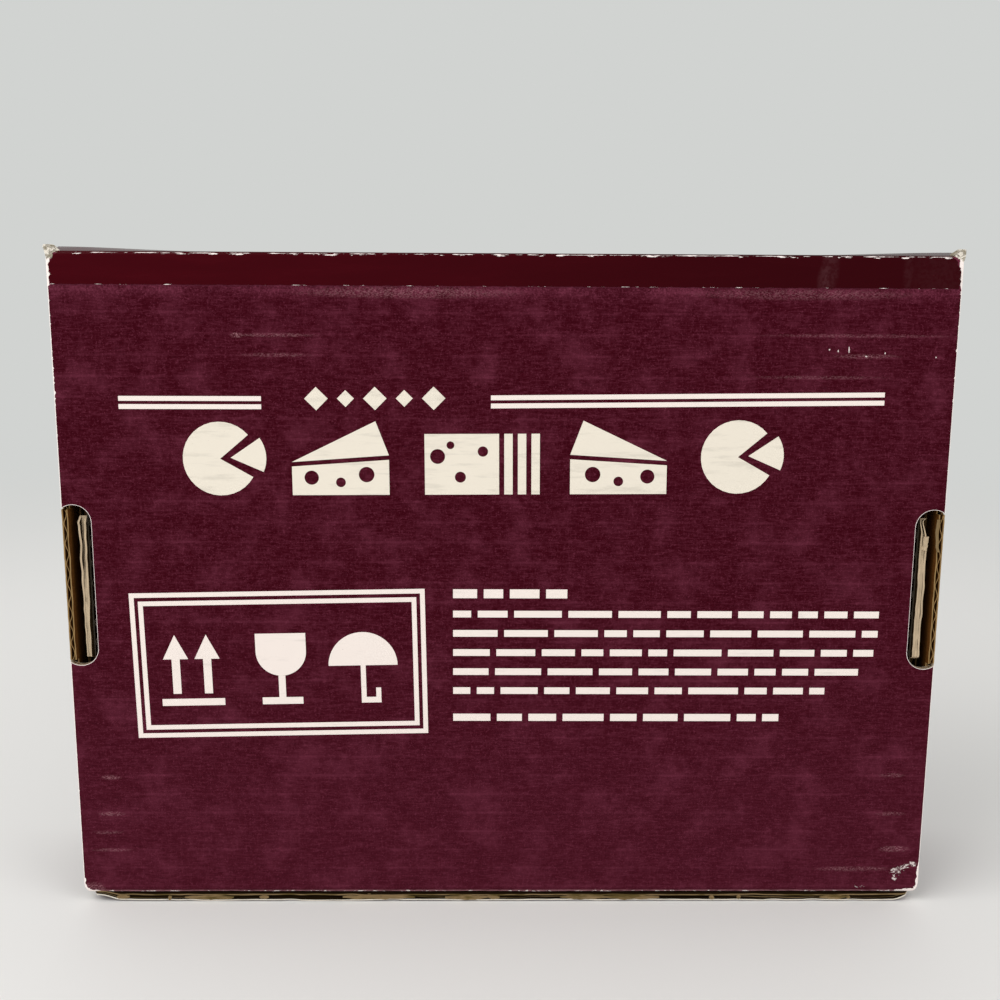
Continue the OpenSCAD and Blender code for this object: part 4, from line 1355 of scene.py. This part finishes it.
class CARTON_OT_print(Operator):
    """Cream print on the base panel: rules, a double frame, plain motifs and rows of bars"""
    bl_idname = "carton.print"
    bl_label = "Printed design"

    # The design's own sizes are in millimetres
    line, rule_step, frame_step = 1.5, 2.5, 2.7
    motif_foot, motif_top = 137.0, 160.0

    # Degrees, and the X and Z of the point that the print is turned about
    frame_turn = (1.1, -71.3, 81.85)
    motif_turn = (0.4, -8.0, 148.5)

    # Left end, right end, height at the left end and rise to the right end
    rule_places = ((-118.4, -74.9, 167.23, 0.1), (-4.6, 116.4, 167.87, 1.43))

    # X, height above the motifs' foot and radius
    hole_places = ((-60, 5.5, 2.2), (-51, 4.0, 1.5), (-43, 6.4, 2.4), (44, 5.5, 2.2), (35, 4.0, 1.5),
                   (27, 6.2, 2.4), (-21, 12.0, 2.3), (-14, 5.5, 1.7), (-7, 13.5, 1.6), (-17, 15.5, 1.2))

    def execute(self, context):
        self.finish = cream_finish("cream_print", inks().cream)
        self.rules()
        self.frame()
        self.motifs()
        self.symbols()
        self.bar_rows()
        self.lid_design()
        return {"FINISHED"}

    def out(self, name, bm, finish=None):
        raise_print(bm, sizes().print_t)
        piece(name, bm, [finish or self.finish], "carton", "printed_board")

    def rules(self):
        """Two double rules, left and right of the small ornament."""
        bm = bmesh.new()
        for x0, x1, top, rise in self.rule_places:
            for high in (top, top - self.rule_step):
                low = high - self.line
                flat_shape(bm, (x0, low), (x1, low + rise), (x1, high + rise), (x0, high))
        self.out("print_rules", bm)

    def frame(self):
        """Double frame round the handling symbols."""
        bm = bmesh.new()
        for inset in (0.0, self.frame_step):
            box_lines(bm, -117.9 + inset, -24.8 - inset, 57.85 + inset, 105.85 - inset, self.line)
        askew(bm, *self.frame_turn)
        self.out("print_frame", bm)

    def lid_design(self):
        """Double border on the lid with a plain picture of a slicing board and a cheese."""
        bm = bmesh.new()
        for inset, line in ((10.0, 2.4), (14.6, 1.2)):
            box_lines(bm, -138 + inset, 138 - inset, inset, 210.7 - inset, line)
        box_lines(bm, -78, 78, 62, 148, 2.0)
        for x0, x1, z0, z1 in ((38, 39.2, 44, 148), (34.6, 42.6, 30, 44), (-60, 22, 84, 126)):
            bar(bm, x0, x1, z0, z1)
        for number in range(4):
            left = 25.4 + number * 3.2
            bar(bm, left, left + 1.8, 84, 126)
        for z in (176, 34):
            for x in (-102, 102):
                diamond(bm, x, z, 5)
        raise_print(bm, sizes().print_t)
        bmesh.ops.rotate(bm, verts=bm.verts[:], cent=(0, 0, 0), matrix=Matrix.Rotation(math.pi, 3, "Z"))
        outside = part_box("wrap_sheet_lid")[1].y + PANEL_LOW.y
        bmesh.ops.translate(bm, verts=bm.verts[:], vec=(0, outside, 0))
        piece("lid_print", bm, [self.finish], "lid", "wrap_paper")

    def motifs(self):
        """A row of cheeses: wheels with a piece cut out, wedges and a sliced block."""
        bm = bmesh.new()
        foot, top = self.motif_foot, self.motif_top
        middle = (foot + top) / 2
        for x in (-88.0, 72.0):
            sector(bm, x, middle, 11.5, 40, 330)
            sector(bm, x + 3.2, middle + 0.3, 11.0, -24, 34, steps=8)
        for x, turn in ((-51.0, 1), (35.0, -1)):
            thin, thick = x - turn * 15, x + turn * 15
            flat_shape(bm, (thin, foot), (thick, foot), (thick, foot + 11), (thin, foot + 9))
            flat_shape(bm, (thin, foot + 10.4), (thick, foot + 12.4), (x + turn * 11, top))
        block = -8.0
        bar(bm, block - 17, block + 6, foot, top - 4)
        for number in range(3):
            left = block + 7.6 + number * 4.2
            bar(bm, left, left + 2.6, foot, top - 4)
        for number in range(5):
            diamond(bm, -40.0 + (number - 2) * 9.0, 167.0, 2.6 if number % 2 else 3.6)
        askew(bm, *self.motif_turn)
        self.out("print_motifs", bm, cream_finish("aged_cream_print", inks().aged_cream, 0.5))
        self.holes()

    def holes(self):
        """Holes in the cheeses, in the board's own ink."""
        bm = bmesh.new()
        for x, up, radius in self.hole_places:
            sector(bm, x, self.motif_foot + up, radius, 0, 360)
        askew(bm, *self.motif_turn)
        raise_print(bm, sizes().print_t + 0.03 * MM)
        ink = printed_finish("matt_print_holes", X, ())
        piece("print_motif_holes", bm, [ink], "carton", "printed_board")

    def symbols(self):
        """Common handling signs: this way up, fragile, keep dry."""
        bm = bmesh.new()
        z = 81.0
        for x in (-104.5, -94.5):
            bar(bm, x - 1.3, x + 1.3, z - 8.5, z + 3)
            flat_shape(bm, (x - 4, z + 3), (x + 4, z + 3), (x, z + 11))
        bar(bm, -109.5, -89.5, z - 12.5, z - 10.2)
        glass, canopy = -71.0, -45.0
        sector(bm, glass, z + 5, 8, 180, 360)
        sector(bm, canopy, z, 11, 0, 180)
        for x, left, right, low, high in ((glass, -8, 8, 5, 11), (glass, -1.1, 1.1, -10.2, -3),
                                          (glass, -6.5, 6.5, -12.5, -10.2), (canopy, -0.8, 0.8, -12.5, 0),
                                          (canopy, 0.8, 5.5, -12.5, -10.6), (canopy, 3.9, 5.5, -10.6, -7.5)):
            bar(bm, x + left, x + right, z + low, z + high)
        askew(bm, *self.frame_turn)
        self.out("print_symbols", bm)

    def bar_rows(self):
        """Rows of plain bars of uneven length."""
        bm = bmesh.new()
        draw = random.Random(4)
        left, gap = -16.3, 2.1
        lines = [(23.2, 103.7, 2.9)]
        lines += [(right, 97.4 - 6.35 * n, 2.2) for n, right in enumerate((119, 119, 118, 118, 103))]
        lines.append((88.6, 62.9, 2.4))
        for right, z, tall in lines:
            x = left
            while x < right - 3:
                word = min(draw.uniform(5.0, 16.0), right - x)
                bar(bm, x, x + word, z, z + tall)
                x += word + gap
        self.out("print_text_bars", bm)


class SLICER_OT_slab(Operator):
    """Marble slab with eased edges"""
    bl_idname = "slicer.slab"
    bl_label = "Marble slab"

    def execute(self, context):
        bm = bmesh.new()
        bm.from_mesh(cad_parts["marble_slab"].data)
        bmesh.ops.remove_doubles(bm, verts=bm.verts, dist=MERGE_DISTANCE)
        bmesh.ops.dissolve_limit(bm, angle_limit=math.radians(1), verts=bm.verts, edges=bm.edges)
        levels = [limit(v.co.y for v in bm.verts) for limit in (min, max)]
        flat = [edge for level in levels for edge in edges_on(bm, Y, level)]
        rim = [e for e in flat if e.is_manifold and e.calc_face_angle() > math.radians(60)]
        bevel(bm, rim, 0.7 * MM, 3, clamp=True)
        for face in bm.faces:
            face.material_index = 0
        piece("marble_slab_polished", bm, [marble_finish("polished_marble")], "carton", "marble",
              ["marble_slab"])
        return {"FINISHED"}


class SLICER_OT_grip(Operator):
    """Turned wooden grip with two beads"""
    bl_idname = "slicer.grip"
    bl_label = "Grip"

    # Shares of the grip's greatest radius and of its height, from its closed end up
    outline = ((0.0, 0.0), (0.52, 0.0), (0.62, 0.012), (0.70, 0.04), (0.84, 0.16), (0.95, 0.30),
               (1.0, 0.46), (0.985, 0.60), (0.93, 0.70), (0.895, 0.725), (0.895, 0.745), (0.925, 0.76),
               (0.925, 0.785), (0.895, 0.80), (0.86, 0.86), (0.80, 0.93), (0.74, 0.97), (0.68, 1.0))

    def execute(self, context):
        low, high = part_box("grip")
        insert_low, insert_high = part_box("grip_insert")
        axis = (low + high) / 2
        widest = (high.x - low.x) / 2
        bore = (insert_high.x - insert_low.x) / 2
        section = [(r * widest, low.z + h * (high.z - low.z)) for r, h in self.outline]
        section += [(bore, high.z), (bore, insert_low.z), (0.0, insert_low.z)]
        bm = bmesh.new()
        verts = [bm.verts.new((axis.x + r, axis.y, z)) for r, z in section]
        edges = [bm.edges.new(pair) for pair in zip(verts, verts[1:])]
        bmesh.ops.spin(bm, geom=verts + edges, cent=axis, axis=(0, 0, 1), angle=math.tau, steps=48,
                       use_merge=True, dvec=(0, 0, 0))
        bmesh.ops.remove_doubles(bm, verts=bm.verts, dist=MERGE_DISTANCE)
        piece("grip_turned", bm, [wood_finish("oiled_wood")], "turned_grip", "wood", ["grip"])
        return {"FINISHED"}


class SLICER_OT_fittings(Operator):
    """Finishes of the rod arm, wire, bushes, feet and other small fittings"""
    bl_idname = "slicer.fittings"
    bl_label = "Slicer fittings"

    def execute(self, context):
        tones = slicer_tones()
        bright = metal_finish("bright_rod", tones.steel, 0.12)
        drawn = metal_finish("drawn_wire", tones.wire, 0.28, Z)
        brass = metal_finish("turned_brass", tones.brass, 0.3)
        rubber = plain_finish("moulded_rubber", tones.rubber, 0.75, 0.0008)
        nylon = plain_finish("moulded_nylon", tones.nylon, 0.45, 0.0006)
        for finish, nodes in ((bright, ("arm_frame", "wire_collar", "grip_washer")),
                              (drawn, ("cutting_wire", "tension_stud")),
                              (brass, ("wire_ferrules", "grip_insert")),
                              (rubber, ("rubber_feet",)),
                              (nylon, ("outer_axle_bush", "inner_axle_bush"))):
            for node in nodes:
                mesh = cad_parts[node].data
                mesh.materials.clear()
                mesh.materials.append(finish)
        return {"FINISHED"}


def seen_share(tree):
    """1 for rays from the camera, and for those that metal and glass send on."""
    rays = tree.nodes.new("ShaderNodeLightPath").outputs
    share = rays["Is Camera Ray"]
    for name in ("Is Glossy Ray", "Is Transmission Ray"):
        both = tree.nodes.new("ShaderNodeMath")
        both.operation = "MAXIMUM"
        tree.links.new(share, both.inputs[0])
        tree.links.new(rays[name], both.inputs[1])
        share = both.outputs[0]
    return share


class STAGE_OT_studio(Operator):
    """Pale floor, soft light and the camera"""
    bl_idname = "stage.studio"
    bl_label = "Studio"

    lit_point = Vector((0, 0, 0.1))

    def execute(self, context):
        scene = context.scene
        looks = scene.stage_looks
        self.floor(looks)
        self.world(scene, looks)
        self.lamp(scene, "key_lamp", looks.key, 1.0, Vector((-0.75, -0.55, 0.95)))
        self.lamp(scene, "fill_lamp", looks.fill, 0.8, Vector((1.05, -0.85, 0.8)))
        self.camera(scene, looks)
        scene.view_settings.view_transform = "Standard"
        return {"FINISHED"}

    def floor(self, looks):
        """Lit and shadowed near the carton, and plain backdrop further off."""
        bm = bmesh.new()
        bmesh.ops.create_grid(bm, x_segments=1, y_segments=1, size=6.0)
        made = Finish("pale_floor", roughness=0.7, specular=0.2)
        cloud = made.noise(0.4, detail=2.0)
        lit = made.done(made.mix(cloud, tint(looks.floor, 0.96), looks.floor))
        far = made.add("ShaderNodeEmission", Color=looks.backdrop, Strength=1.0)
        distance = made.add("ShaderNodeVectorMath", {"operation": "LENGTH"}, Vector=made.place)
        share = made.times(made.ramp(distance.outputs["Value"], 0.3, 1.1), seen_share(made.tree))
        show_either(made.tree, share, made.shader, far, "Material Output")
        add_object("floor", bm, [lit])

    def world(self, scene, looks):
        """White light from all round, seen itself as the backdrop."""
        world = bpy.data.worlds.new("studio")
        scene.world = world
        world.use_nodes = True
        tree = world.node_tree
        light = tree.nodes["Background"]
        light.inputs["Color"].default_value = (1.0, 1.0, 1.0, 1.0)
        light.inputs["Strength"].default_value = looks.world
        seen = tree.nodes.new("ShaderNodeBackground")
        seen.inputs["Color"].default_value = (*looks.backdrop, 1.0)
        show_either(tree, seen_share(tree), light, seen, "World Output")

    def lamp(self, scene, name, power, size, place):
        light = bpy.data.lights.new(name, "AREA")
        light.energy = power
        light.size = size
        lamp = bpy.data.objects.new(name, light)
        aim = self.lit_point - place
        lamp.matrix_world = Matrix.Translation(place) @ aim.to_track_quat("-Z", "Y").to_matrix().to_4x4()
        scene.collection.objects.link(lamp)

    def camera(self, scene, looks):
        lens = bpy.data.cameras.new("camera")
        lens.sensor_width = 36.0
        lens.lens = looks.focal * lens.sensor_width
        lens.clip_start = 0.01
        camera = bpy.data.objects.new("camera", lens)
        turn = Matrix.Rotation(looks.yaw, 4, "Z") @ Matrix.Rotation(looks.pitch, 4, "X")
        turn = turn @ Matrix.Rotation(looks.roll, 4, "Y") @ Matrix.Rotation(math.pi / 2, 4, "X")
        camera.matrix_world = Matrix.Translation(looks.eye) @ turn
        scene.collection.objects.link(camera)
        scene.camera = camera


GROUPS = {"carton_sizes": CartonSizes, "carton_colours": CartonColours,
          "slicer_colours": SlicerColours, "stage_looks": StageLooks}
OPERATORS = (STAGE_OT_studio, CARTON_OT_base_panel, CARTON_OT_side_walls, CARTON_OT_end_walls,
             CARTON_OT_wrap_sheet, CARTON_OT_lid, CARTON_OT_pads, CARTON_OT_print,
             SLICER_OT_slab, SLICER_OT_grip, SLICER_OT_fittings)


class CARTON_PT_sidebar(Panel):
    """Lists the steps that dress the carton"""
    bl_label = "Carton"
    bl_space_type = "VIEW_3D"
    bl_region_type = "UI"
    bl_category = "Carton"

    def draw(self, context):
        for operator in OPERATORS:
            self.layout.operator(operator.bl_idname)
        for group in GROUPS:
            looks = getattr(context.scene, group)
            for name in looks.__annotations__:
                self.layout.prop(looks, name)


def register():
    for group, kind in GROUPS.items():
        bpy.utils.register_class(kind)
        setattr(bpy.types.Scene, group, PointerProperty(type=kind))
    for kind in (*OPERATORS, CARTON_PT_sidebar):
        bpy.utils.register_class(kind)


def unregister():
    for kind in (CARTON_PT_sidebar, *reversed(OPERATORS)):
        bpy.utils.unregister_class(kind)
    for group, kind in GROUPS.items():
        delattr(bpy.types.Scene, group)
        bpy.utils.unregister_class(kind)


def main():
    noise.seed_set(NOISE_SEED)
    register()
    for operator in OPERATORS:
        family, step = operator.bl_idname.split(".")
        getattr(getattr(bpy.ops, family), step)()


if __name__ == "__main__":
    main()
